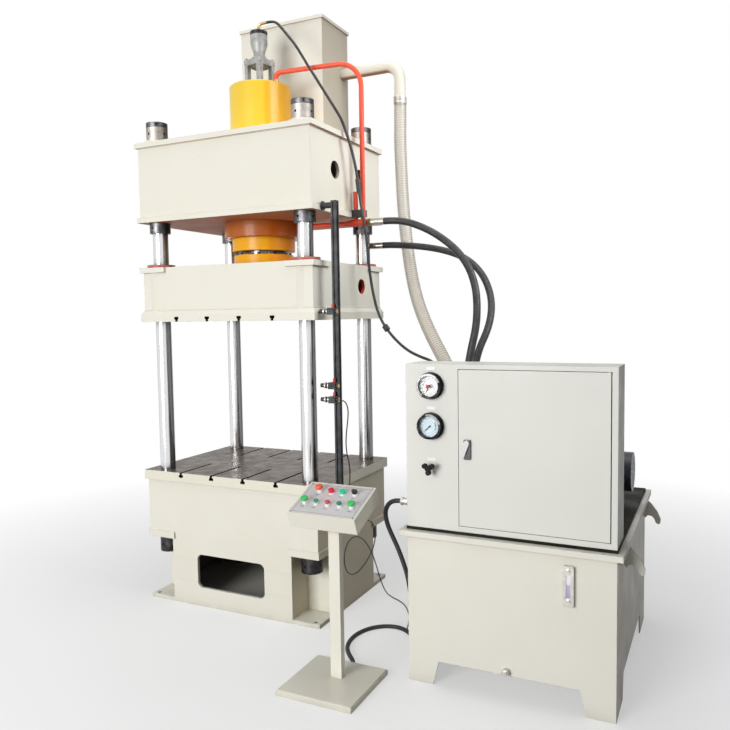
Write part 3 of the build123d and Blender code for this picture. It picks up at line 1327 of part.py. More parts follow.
# Rotor with its fan, the coupling and the pump's shaft
bell_x = motor_x0 - BELL_L
pump_x = bell_x - PUMP_L
with BuildPart() as motor_rotor:
    along_x(bell_x - PUMP_SHAFT_IN, motor_x0, MOTOR_Y, MOTOR_Z, PUMP_SHAFT_R)
    along_x(bell_x + COUPLING_GAP, motor_x0 - COUPLING_GAP, MOTOR_Y, MOTOR_Z, COUPLING_R)
    along_x(motor_x0 - BELL_L / 2, cowl_end - COWL_T - SHAFT_END_GAP, MOTOR_Y, MOTOR_Z, SHAFT_R)
    along_x(motor_x0 + ROTOR_INSET, motor_x1 - ROTOR_INSET, MOTOR_Y, MOTOR_Z, ROTOR_R)
    fan_x = motor_x1 + FAN_GAP
    along_x(fan_x, fan_x + FAN_T, MOTOR_Y, MOTOR_Z, FAN_R)
    for turn in range(BLADES):
        with Locations(Location((fan_x + FAN_T, MOTOR_Y, MOTOR_Z), (360 / BLADES * turn, 0, 0))):
            with Locations((BLADE_H / 2, 0, (FAN_R + SHAFT_R) / 2)):
                Box(BLADE_H, BLADE_T, FAN_R - SHAFT_R)
save(motor_rotor, "motor_rotor")

# Bell housing and gear pump
with BuildPart() as pump:
    half = PUMP_W / 2
    line_x = pump_x + PUMP_LINE_X
    line_z = MANIFOLD_TOP - PUMP_LINE_DROP
    along_x(bell_x, motor_x0, MOTOR_Y, MOTOR_Z, BELL_R)
    along_x(bell_x + BELL_T, motor_x0, MOTOR_Y, MOTOR_Z, BELL_R - BELL_T, mode=Mode.SUBTRACT)
    block(pump_x, bell_x, MOTOR_Y - half, MOTOR_Y + half, MOTOR_Z - half, MOTOR_Z + half)
    fillet(pump.edges().filter_by(Axis.X), PUMP_CORNER_R)
    upright(line_x, MOTOR_Y, COVER_TOP, MOTOR_Z - half, SUCTION_R)
    tube(
        [(line_x, MOTOR_Y - half, line_z), (line_x, PUMP_LINE_Y, line_z),
         (MANIFOLD_X[1], PUMP_LINE_Y, line_z)],
        PUMP_LINE_BEND_R, PUMP_LINE_R,
    )
    along_x(bell_x - PUMP_SHAFT_IN, bell_x + BELL_T, MOTOR_Y, MOTOR_Z, PUMP_SHAFT_R + FIT, mode=Mode.SUBTRACT)
save(pump, "pump")

# Valve block with a raised row that carries two solenoid valves
with BuildPart() as manifold:
    block(MANIFOLD_X[0], MANIFOLD_X[1], MANIFOLD_Y[0], MANIFOLD_Y[1], COVER_TOP, MANIFOLD_TOP)
    row_x = MANIFOLD_X[0] + VALVE_ROW_X
    row_top = MANIFOLD_TOP + VALVE_ROW_H
    block(row_x, MANIFOLD_X[1], MANIFOLD_Y[0], MANIFOLD_Y[1], MANIFOLD_TOP, row_top)
    for y in (MANIFOLD_Y[0] + VALVE_INSET_Y, MANIFOLD_Y[1] - VALVE_INSET_Y):
        half = VALVE_BODY_W / 2
        coil_x = row_x + VALVE_BODY_L
        block(row_x, coil_x, y - half, y + half, row_top, row_top + VALVE_BODY_H)
        coil_end = coil_x + VALVE_COIL_L
        coil_half = half + VALVE_COIL_OUT
        block(
            coil_x, coil_end, y - coil_half, y + coil_half,
            row_top + VALVE_COIL_LIFT, row_top + VALVE_COIL_H,
        )
        along_x(coil_end, coil_end + VALVE_TIP_L, y, row_top + VALVE_COIL_H / 2, VALVE_TIP_R)
save(manifold, "manifold")

# Unions, hose ends, the flange on the tank cover and the steel bands of the clear hose
pilot_exit = (ELBOW_REACH, 0.0, ELBOW_Z + ELBOW_H)
with BuildPart() as hose_fittings:
    for x0, y, z, pipe_r in (
        (LOWER_PIPE_END, PIPE_Y, LOWER_PIPE_Z, PIPE_R),
        (REAR_PIPE_END, REAR_PIPE_Y, REAR_PIPE_Z, REAR_PIPE_R),
    ):
        with BuildSketch(Plane.YZ.offset(x0)):
            with Locations((y, z)):
                RegularPolygon(pipe_r + FERRULE_HEX_OUT, 6)
        extrude(amount=FERRULE_HEX_L)
        along_x(x0 + FERRULE_HEX_L, x0 + FERRULE_HEX_L + FERRULE_L, y, z, THICK_HOSE_R + FERRULE_WALL)
    for x, y in HOSE_PORTS:
        upright(x, y, MANIFOLD_TOP, MANIFOLD_TOP + FITTING_H, FITTING_R)
    upright(*PILOT_PORT, MANIFOLD_TOP, MANIFOLD_TOP + PILOT_FITTING_H, PILOT_FITTING_R)
    upright(*PIPE_START, CYLINDER_TOP, pipe_start_z, UNION_R)
    upright(0, 0, ELBOW_Z, ELBOW_Z + ELBOW_BASE_H, ELBOW_BASE_R)
    tube([(0, 0, ELBOW_Z + ELBOW_BASE_H), (0, 0, pilot_exit[2]), pilot_exit], ELBOW_BEND_R, PILOT_HOSE_R)
    upright(*RETURN_PORT, COVER_TOP, COVER_TOP + RETURN_FLANGE_T, RETURN_FLANGE_R)
    upright(*RETURN_PORT, COVER_TOP + RETURN_FLANGE_T, RETURN_PORT_TOP, RETURN_R)
    for z in (RETURN_END_Z + BAND_INSET, RETURN_END_Z - BAND_INSET - BAND_H):
        upright(RETURN_X, RETURN_Y, z, z + BAND_H, CLEAR_HOSE_R + BAND_T)
        upright(RETURN_X, RETURN_Y, z, z + BAND_H, CLEAR_HOSE_R + FIT, mode=Mode.SUBTRACT)
save(hose_fittings, "hose_fittings")

# Stand of the console: a folded base and a square tube
with BuildPart() as console_stand:
    half_w = STAND_BASE_W / 2
    half_d = STAND_BASE_D / 2
    x0 = STAND_X - half_w
    x1 = STAND_X + half_w
    y0 = STAND_Y - half_d
    y1 = STAND_Y + half_d
    block(x0, x1, y0, y1, 0, STAND_BASE_H)
    chamfer(console_stand.faces().sort_by(Axis.Z)[-1].edges(), STAND_CHAMFER)
    block(
        x0 + STAND_T, x1 - STAND_T, y0 + STAND_T, y1 - STAND_T, 0, STAND_BASE_H - STAND_T,
        mode=Mode.SUBTRACT,
    )
    notch_x = STAND_X + POST_X
    block(
        notch_x - NOTCH_W / 2, notch_x + NOTCH_W / 2, y1 - 2 * STAND_T, y1,
        0, STAND_BASE_H - STAND_T, mode=Mode.SUBTRACT,
    )
    post_x = STAND_X + POST_X
    post_y = STAND_Y + POST_Y
    block(
        post_x - POST_W / 2, post_x + POST_W / 2, post_y - POST_D / 2, post_y + POST_D / 2,
        STAND_BASE_H, CONSOLE_FRONT_Z,
    )
    block(
        post_x - POST_W / 2 + STAND_T, post_x + POST_W / 2 - STAND_T,
        post_y - POST_D / 2 + STAND_T, post_y + POST_D / 2 - STAND_T,
        STAND_BASE_H - STAND_T, CONSOLE_FRONT_Z, mode=Mode.SUBTRACT,
    )
    split(bisect_by=FACE.offset(-CONSOLE_H), keep=Keep.BOTTOM)
save(console_stand, "console_stand")


def face_box(u0, u1, v0, v1, w0, w1, mode=Mode.ADD):
    """A box in the slanted frame of the console face."""
    place = FACE.location * Location(((u0 + u1) / 2, (v0 + v1) / 2, (w0 + w1) / 2))
    with Locations(place):
        Box(u1 - u0, v1 - v0, w1 - w0, mode=mode)


def face_round(u, v, w0, w1, radius, mode=Mode.ADD):
    """A round bar square to the console face."""
    with Locations(FACE.location * Location((u, v, (w0 + w1) / 2))):
        Cylinder(radius, w1 - w0, mode=mode)


half_w = CONSOLE_W / 2
with BuildPart() as console_box:
    face_box(-half_w, half_w, 0, CONSOLE_L, -CONSOLE_H, 0)
    ledge = CONSOLE_RIM + CONSOLE_LEDGE
    face_box(
        -half_w + CONSOLE_RIM, half_w - CONSOLE_RIM, CONSOLE_RIM, CONSOLE_L - CONSOLE_RIM,
        -CONSOLE_T, 0, mode=Mode.SUBTRACT,
    )
    face_box(
        -half_w + ledge, half_w - ledge, ledge, CONSOLE_L - ledge,
        -2 * CONSOLE_T, -CONSOLE_T, mode=Mode.SUBTRACT,
    )
    face_box(
        -half_w + CONSOLE_T, half_w - CONSOLE_T, CONSOLE_T, CONSOLE_L - CONSOLE_T,
        -CONSOLE_H + CONSOLE_T, -2 * CONSOLE_T, mode=Mode.SUBTRACT,
    )
save(console_box, "console_box")

ROUNDS = [(u, LOWER_ROW) for u in BUTTON_U]
ROUNDS += [(u, UPPER_ROW) for u in (ESTOP_U, *LAMP_U, SELECTOR_U)]
with BuildPart() as console_faceplate:
    edge = CONSOLE_RIM + FACE_GAP
    face_box(-half_w + edge, half_w - edge, edge, CONSOLE_L - edge, -CONSOLE_T, 0)
    for u, v in ROUNDS:
        face_round(u, v, -CONSOLE_T, 0, BUTTON_HOLE_R, mode=Mode.SUBTRACT)
save(console_faceplate, "console_faceplate")

# White collars, tall under the mushroom heads and low under the small ones, and the two lamps
COLLARS = [
    (ESTOP_U, UPPER_ROW, MUSHROOM_COLLAR_H),
    (BUTTON_U[0], LOWER_ROW, MUSHROOM_COLLAR_H),
    (BUTTON_U[1], LOWER_ROW, SMALL_COLLAR_H),
    (BUTTON_U[2], LOWER_ROW, SMALL_COLLAR_H),
    (BUTTON_U[3], LOWER_ROW, SMALL_COLLAR_H),
    (BUTTON_U[4], LOWER_ROW, MUSHROOM_COLLAR_H),
    (SELECTOR_U, UPPER_ROW, SELECTOR_COLLAR_H),
]
with BuildPart() as button_collars:
    for u, v, height in COLLARS:
        face_round(u, v, 0, height, COLLAR_RIM_R)
        face_round(u, v, -BARREL_L, 0, BUTTON_HOLE_R - THREAD_GAP)
        face_round(u, v, -BARREL_L, height, BUTTON_STEM_R + FIT, mode=Mode.SUBTRACT)
    for u in LAMP_U:
        face_round(u, UPPER_ROW, 0, LAMP_RIM_H, LAMP_RIM_R)
        face_round(u, UPPER_ROW, LAMP_RIM_H, LAMP_H, LAMP_R)
        face_round(u, UPPER_ROW, -BARREL_L, 0, BUTTON_HOLE_R - THREAD_GAP)
save(button_collars, "button_collars")


def push_button(name, u, v, collar_h, head_r, head_h):
    """A plunger with a domed head that stands clear of its collar by its travel."""
    with BuildPart() as button:
        head_w = collar_h + PRESS_GAP
        face_round(u, v, head_w, head_w + head_h, head_r)
        fillet(button.edges().filter_by(GeomType.CIRCLE).sort_by(Axis.Z)[-1], head_h * DOME_SHARE)
        face_round(u, v, -BARREL_L + PRESS_TRAVEL + STEM_END, head_w, BUTTON_STEM_R)
    save(button, name)


push_button("estop_button", ESTOP_U, UPPER_ROW, MUSHROOM_COLLAR_H, ESTOP_R, ESTOP_H)
BUTTON_NAMES = (
    "left_palm_button", "green_button", "red_button", "dark_green_button", "right_palm_button",
)
for index, name in enumerate(BUTTON_NAMES):
    if index in (0, 4):
        push_button(name, BUTTON_U[index], LOWER_ROW, MUSHROOM_COLLAR_H, MUSHROOM_R, MUSHROOM_H)
    else:
        push_button(name, BUTTON_U[index], LOWER_ROW, SMALL_COLLAR_H, SMALL_R, SMALL_H)

with BuildPart() as selector_knob:
    base_w = SELECTOR_COLLAR_H + FIT
    bar_w = base_w + SELECTOR_BASE_H
    face_round(SELECTOR_U, UPPER_ROW, base_w, bar_w, SELECTOR_R)
    half = SELECTOR_BAR_W / 2
    face_box(
        SELECTOR_U - SELECTOR_R, SELECTOR_U + SELECTOR_R, UPPER_ROW - half, UPPER_ROW + half,
        bar_w, base_w + SELECTOR_H,
    )
    face_round(SELECTOR_U, UPPER_ROW, -BARREL_L + SELECTOR_STEM_END, base_w, BUTTON_STEM_R)
save(selector_knob, "selector_knob")


def bend_radii(points):
    """The largest arc that fits at each inner point of a route."""
    radii = []
    for before, here, after in zip(points, points[1:], points[2:]):
        first = Vector(*here) - Vector(*before)
        second = Vector(*after) - Vector(*here)
        half_turn = radians(first.get_angle(second)) / 2
        radii.append(0.45 * min(first.length, second.length) / tan(half_turn))
    return radii


def cord(name, points, radius):
    """The solid of a free hose or cable, with a check of its volume."""
    radii = bend_radii(points)
    with BuildPart() as solid:
        length = tube(points, radii, radius)
    save(solid, name)
    expected = pi * radius**2 * length
    print(f"{name}: length {length:.0f}, smallest radius {min(radii):.0f}, "
          f"{min(radii) / (2 * radius):.1f} diameters, volume ratio {solid.part.volume / expected:.4f}")


# Thick black hose from the red pipe to the valve block
ferrule_end = LOWER_PIPE_END + FERRULE_HEX_L + FERRULE_L
port_z = MANIFOLD_TOP + FITTING_H
UPPER_HOSE = [
    (ferrule_end, PIPE_Y, LOWER_PIPE_Z), (905, PIPE_Y, LOWER_PIPE_Z), (1000, 34, 2364), (1117, 18, 2318),
    (1222, 0, 2258),
    (1327, -25, 2177), (1408, -60, 2082), (1461, -100, 1969), (1484, -140, 1859), (1490, -180, 1740),
    (1469, -220, 1601), (1452, -250, 1450), (1441, -264, 1290), (1444, -269, 1180),
    (*HOSE_PORTS[0], 1092), (*HOSE_PORTS[0], port_z),
]
cord("pressure_hose_upper", UPPER_HOSE, THICK_HOSE_R)

# Thick black hose from the rear pipe to the valve block
rear_ferrule_end = REAR_PIPE_END + FERRULE_HEX_L + FERRULE_L
LOWER_HOSE = [
    (rear_ferrule_end, REAR_PIPE_Y, REAR_PIPE_Z), (705, REAR_PIPE_Y, REAR_PIPE_Z), (795, 437, 2267),
    (910, 424, 2254), (1040, 405, 2231),
    (1161, 380, 2197), (1281, 330, 2145), (1390, 260, 2053), (1462, 180, 1942), (1497, 100, 1837),
    (1501, 10, 1724), (1464, -80, 1594), (1450, -116, 1440), (1440, -128, 1290), (1444, -131, 1180),
    (*HOSE_PORTS[1], 1092), (*HOSE_PORTS[1], port_z),
]
cord("pressure_hose_lower", LOWER_HOSE, THICK_HOSE_R)

# Clear wire-wound return hose
RETURN_HOSE = [
    (RETURN_X, RETURN_Y, RETURN_END_Z), (RETURN_X, RETURN_Y, 3115), (744, 534, 2960), (749, 536, 2780),
    (758, 535, 2570), (779, 527, 2365), (811, 506, 2170), (862, 460, 1991), (925, 405, 1850),
    (1011, 342, 1707), (1120, 268, 1560), (1225, 200, 1420), (1315, 142, 1270), (1376, 104, 1120),
    (1400, 88.5, 1000), (*RETURN_PORT, 925), (*RETURN_PORT, RETURN_PORT_TOP),
]
cord("return_hose", RETURN_HOSE, CLEAR_HOSE_R)

# Thin black pilot hose from the brass elbow to the valve block
PILOT_HOSE = [
    pilot_exit, (98, 0, pilot_exit[2]), (136, -4, 3662), (168, -10, 3632), (222, -23, 3570),
    (295, -40, 3486), (345, -50, 3412),
    (392, -60, 3341), (462, -72, 3240), (535, -85, 3133), (592, -93, 3050), (642, -102, 2975),
    (672, -100, 2890), (692, -72, 2793), (704, -36, 2666), (710, -12, 2512), (738, -6, 2346),
    (741, 14, 2225), (743, 38, 2073), (763, 58, 1899), (798, 70, 1782), (877, 60, 1682), (988, 20, 1601),
    (1102, -40, 1563), (1190, -95, 1547), (1262, -135, 1505), (1318, -160, 1420), (1352, -175, 1310),
    (1380, -187, 1200), (1406, -196, 1110), (*PILOT_PORT, 1046),
    (*PILOT_PORT, MANIFOLD_TOP + PILOT_FITTING_H),
]
cord("pilot_hose", PILOT_HOSE, PILOT_HOSE_R)

# Black corrugated conduit from the cabinet to the stand of the console
floor_z = CONDUIT_R + 0.5
CONDUIT = [
    (cab_x0 - CABLE_GLAND_L, GLAND_Y, GLAND_Z), (1239, GLAND_Y, GLAND_Z), (1205, -740, 868),
    (1187, -740, 832), (1189, -740, 790), (1204, -740, 744), (1229, -740, 694), (1255, -738, 640),
    (1278, -730, 572), (1294, -715, 500),
    (1297, -690, 410), (1292, -655, 320), (1280, -610, 230), (1262, -555, 145), (1240, -492, 75),
    (1210, -422, 30), (1165, -350, floor_z), (1103, -290, floor_z), (1030, -266, floor_z),
    (954, -290, floor_z), (893, -352, floor_z), (862, -440, floor_z), (862, -530, floor_z),
    (888, -620, floor_z), (940, -690, floor_z), (985, -736, floor_z), (1007, -775, floor_z),
    (notch_x, STAND_Y + STAND_BASE_D / 2 - 28, STAND_BASE_H - STAND_T - CONDUIT_R),
]
cord("console_conduit", CONDUIT, CONDUIT_R)


# Thin cable of the limit switches, which hangs in a loop beside the base and joins the conduit
switch_end = switch_tip + SWITCH_L
cable_z = SENSOR_CABLE_R + 0.5
SENSOR_CABLE = [
    (switch_end, SWITCH_Y, SWITCH_Z[0]), (784, SWITCH_Y, SWITCH_Z[0]), (806, -410, 1313), (810, -404, 1272),
    (802, -398, 1215), (788, -390, 1150), (776, -376, 1080), (766, -345, 1015), (756, -300, 955),
    (741, -262, 890), (723, -236, 815), (707, -205, 735), (697, -160, 655), (690, -95, 590), (688, -15, 545),
    (688, 72, 515), (690, 148, 468), (692, 178, 395), (690, 150, 320), (688, 82, 270), (686, 5, 238),
    (686, -78, 222), (688, -160, 232), (690, -228, 272), (692, -266, 338), (694, -262, 412),
    (697, -215, 462), (701, -140, 470), (706, -62, 440), (711, 4, 385), (716, 58, 315), (721, 100, 238),
    (728, 130, 158), (742, 150, 80), (772, 152, 22), (824, 138, cable_z), (890, 105, cable_z),
    (950, 50, cable_z), (998, -22, cable_z), (1040, -100, cable_z), (1066, -176, cable_z),
    (1082, -226, 7), (1095, -268, 10),
]
cord("sensor_cable", SENSOR_CABLE, SENSOR_CABLE_R)


def sleeve(points, index, length, outer):
    """A sleeve on the middle of the run that starts at one point of a route."""
    start = Vector(*points[index])
    run = Vector(*points[index + 1]) - start
    near = start + run * 0.5 - run.normalized() * (length / 2)
    with BuildSketch(Plane(origin=near, z_dir=run)) as ring:
        Circle(outer)
        Circle(PILOT_HOSE_R, mode=Mode.SUBTRACT)
    extrude(ring.sketch, amount=length)


# Rubber sleeve and clip on the pilot hose
with BuildPart() as hose_clips:
    sleeve(PILOT_HOSE, 14, SLEEVE_L, SLEEVE_R)
    sleeve(PILOT_HOSE, 20, CLIP_L, CLIP_R)
save(hose_clips, "hose_clips")
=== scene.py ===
"""A four-column hydraulic press with its power pack and console. Metres, same frame as the solids."""
from math import atan2, cos, degrees, hypot, pi, radians, sin

import bpy
from mathutils import Matrix, Vector


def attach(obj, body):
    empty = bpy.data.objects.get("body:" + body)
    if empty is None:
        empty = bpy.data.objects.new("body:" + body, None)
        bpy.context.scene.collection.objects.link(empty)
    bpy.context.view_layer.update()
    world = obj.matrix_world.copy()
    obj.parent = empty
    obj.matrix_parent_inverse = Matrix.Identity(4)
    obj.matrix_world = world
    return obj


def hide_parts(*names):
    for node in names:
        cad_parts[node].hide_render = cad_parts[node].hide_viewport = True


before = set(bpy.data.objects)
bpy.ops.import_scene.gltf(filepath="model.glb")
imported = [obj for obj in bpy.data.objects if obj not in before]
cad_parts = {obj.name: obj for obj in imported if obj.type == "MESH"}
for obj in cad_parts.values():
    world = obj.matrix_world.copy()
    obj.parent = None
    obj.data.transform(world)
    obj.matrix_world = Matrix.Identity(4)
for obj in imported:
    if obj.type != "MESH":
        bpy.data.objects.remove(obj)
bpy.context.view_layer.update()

# The camera stands in front of the power pack, a little above the height of the cabinet,
# and looks across the console to the press.
camera_data = bpy.data.cameras.new("camera")
camera_data.sensor_width = 36.0
camera_data.lens = 36.005
camera_data.shift_x = -0.00947
camera_data.shift_y = -0.0022
camera_data.clip_end = 100.0
camera = bpy.data.objects.new("camera", camera_data)
bpy.context.scene.collection.objects.link(camera)
look = Vector((-0.4333, 0.8988, -0.0667)).normalized()
right = Vector((0.9011, 0.4333, -0.0152)).normalized()
up = right.cross(look)
camera.matrix_world = Matrix((
    (right.x, up.x, -look.x, 2.7069),
    (right.y, up.y, -look.y, -4.0229),
    (right.z, up.z, -look.z, 1.8150),
    (0.0, 0.0, 0.0, 1.0),
))
bpy.context.scene.camera = camera
bpy.context.scene.view_settings.view_transform = "Standard"

# A white studio: the world shows white to the camera, in metal and through glass, and lights the
# machine softly, more from the left than from the right. The floor is plain and pale.
world = bpy.data.worlds.new("studio")
bpy.context.scene.world = world
world.use_nodes = True
sky = world.node_tree
sky.nodes.clear()


def shows_white(tree):
    """One for a ray from the camera, off metal or through glass, nought for one that brings light."""
    ray = tree.nodes.new("ShaderNodeLightPath")
    reached = ray.outputs["Is Camera Ray"]
    for kind in ("Is Glossy Ray", "Is Transmission Ray"):
        either = tree.nodes.new("ShaderNodeMath")
        either.operation = "MAXIMUM"
        tree.links.new(reached, either.inputs[0])
        tree.links.new(ray.outputs[kind], either.inputs[1])
        reached = either.outputs[0]
    return reached


# The level way to the right of the picture, which the light and the shaded paint go by.
RIGHT = (0.9011, 0.4333, 0.0)
sky_out = sky.nodes.new("ShaderNodeOutputWorld")
sky_way = sky.nodes.new("ShaderNodeTexCoord")
sky_side = sky.nodes.new("ShaderNodeVectorMath")
sky_side.operation = "DOT_PRODUCT"
sky_side.inputs[1].default_value = RIGHT
sky.links.new(sky_way.outputs["Generated"], sky_side.inputs[0])
sky_fall = sky.nodes.new("ShaderNodeMapRange")
sky_fall.inputs["From Min"].default_value = 0.15
sky_fall.inputs["From Max"].default_value = 0.75
sky_fall.inputs["To Min"].default_value = 0.27
sky_fall.inputs["To Max"].default_value = 0.095
sky.links.new(sky_side.outputs["Value"], sky_fall.inputs["Value"])
sky_light = sky.nodes.new("ShaderNodeBackground")
sky_light.inputs["Color"].default_value = (0.93, 0.96, 1.0, 1.0)
sky.links.new(sky_fall.outputs[0], sky_light.inputs["Strength"])
sky_seen = sky.nodes.new("ShaderNodeBackground")
sky_seen.inputs["Color"].default_value = (1.0, 1.0, 1.0, 1.0)
sky_seen.inputs["Strength"].default_value = 1.0
sky_mix = sky.nodes.new("ShaderNodeMixShader")
sky.links.new(shows_white(sky), sky_mix.inputs["Fac"])
sky.links.new(sky_light.outputs[0], sky_mix.inputs[1])
sky.links.new(sky_seen.outputs[0], sky_mix.inputs[2])
sky.links.new(sky_mix.outputs[0], sky_out.inputs["Surface"])


def softbox(name, place, target, width, height, power, spread=pi):
    """A large soft lamp that faces a point of the machine."""
    lamp = bpy.data.lights.new(name, "AREA")
    lamp.shape = "RECTANGLE"
    lamp.size = width
    lamp.size_y = height
    lamp.energy = power
    lamp.spread = spread
    lamp_object = bpy.data.objects.new(name, lamp)
    bpy.context.scene.collection.objects.link(lamp_object)
    lamp_object.location = place
    aim = Vector(target) - Vector(place)
    lamp_object.rotation_euler = aim.to_track_quat("-Z", "Y").to_euler()
    lamp_object.visible_camera = False


softbox("key_lamp", (-1.0, -8.5, 2.5), (0.9, 0.0, 1.3), 4.0, 4.0, 570)
softbox("side_lamp", (2.6, -0.2, 3.4), (0.62, 0.0, 2.6), 1.4, 1.4, 15, 1.6)
softbox("top_lamp", (0.6, 0.0, 7.2), (0.6, -0.2, 0.0), 5.0, 4.0, 116)

# Floor: plain and pale. Near the machine it keeps the shadow and shows part white, further out it
# shows quite white. The light that bounces off it is dimmer, like that off a worn shop floor.
floor_mesh = bpy.data.meshes.new("floor")
floor_mesh.from_pydata([(-40, -40, 0), (40, -40, 0), (40, 40, 0), (-40, 40, 0)], [], [(0, 1, 2, 3)])
floor = bpy.data.objects.new("floor", floor_mesh)
bpy.context.scene.collection.objects.link(floor)
floor_paint = bpy.data.materials.new("floor_paint")
floor_paint.use_nodes = True
ground = floor_paint.node_tree
ground_shader = ground.nodes["Principled BSDF"]
ground_shader.inputs["Base Color"].default_value = (0.86, 0.86, 0.85, 1.0)
ground_shader.inputs["Roughness"].default_value = 0.85
ground_white = ground.nodes.new("ShaderNodeEmission")
ground_white.inputs["Color"].default_value = (1.0, 1.0, 1.0, 1.0)
ground_seen = ground.nodes.new("ShaderNodeLightPath")
ground_grain = ground.nodes.new("ShaderNodeTexNoise")
ground_grain.inputs["Scale"].default_value = 30.0
ground_bump = ground.nodes.new("ShaderNodeBump")
ground_bump.inputs["Strength"].default_value = 0.03
ground.links.new(ground_grain.outputs["Fac"], ground_bump.inputs["Height"])
ground.links.new(ground_bump.outputs["Normal"], ground_shader.inputs["Normal"])
ground_place = ground.nodes.new("ShaderNodeTexCoord")
ground_far = ground.nodes.new("ShaderNodeVectorMath")
ground_far.operation = "DISTANCE"
ground_far.inputs[1].default_value = (0.8, 0.0, 0.0)
ground.links.new(ground_place.outputs["Object"], ground_far.inputs[0])
ground_fade = ground.nodes.new("ShaderNodeMapRange")
ground_fade.inputs["From Min"].default_value = 1.6
ground_fade.inputs["From Max"].default_value = 4.5
ground_fade.inputs["To Min"].default_value = 0.45
ground_fade.inputs["To Max"].default_value = 1.0
ground.links.new(ground_far.outputs["Value"], ground_fade.inputs["Value"])
ground_dim = ground.nodes.new("ShaderNodeBsdfDiffuse")
ground_dim.inputs["Color"].default_value = (0.34, 0.33, 0.31, 1.0)
ground_bounce = ground.nodes.new("ShaderNodeMixShader")
ground_mix = ground.nodes.new("ShaderNodeMixShader")
ground_share = ground.nodes.new("ShaderNodeMath")
ground_share.operation = "MULTIPLY"
ground.links.new(shows_white(ground), ground_share.inputs[0])
ground.links.new(ground_fade.outputs[0], ground_share.inputs[1])
ground.links.new(ground_seen.outputs["Is Diffuse Ray"], ground_bounce.inputs["Fac"])
ground.links.new(ground_shader.outputs[0], ground_bounce.inputs[1])
ground.links.new(ground_dim.outputs[0], ground_bounce.inputs[2])
ground.links.new(ground_share.outputs[0], ground_mix.inputs["Fac"])
ground.links.new(ground_bounce.outputs[0], ground_mix.inputs[1])
ground.links.new(ground_white.outputs[0], ground_mix.inputs[2])
ground.links.new(ground_mix.outputs[0], ground.nodes["Material Output"].inputs["Surface"])
floor_mesh.materials.append(floor_paint)


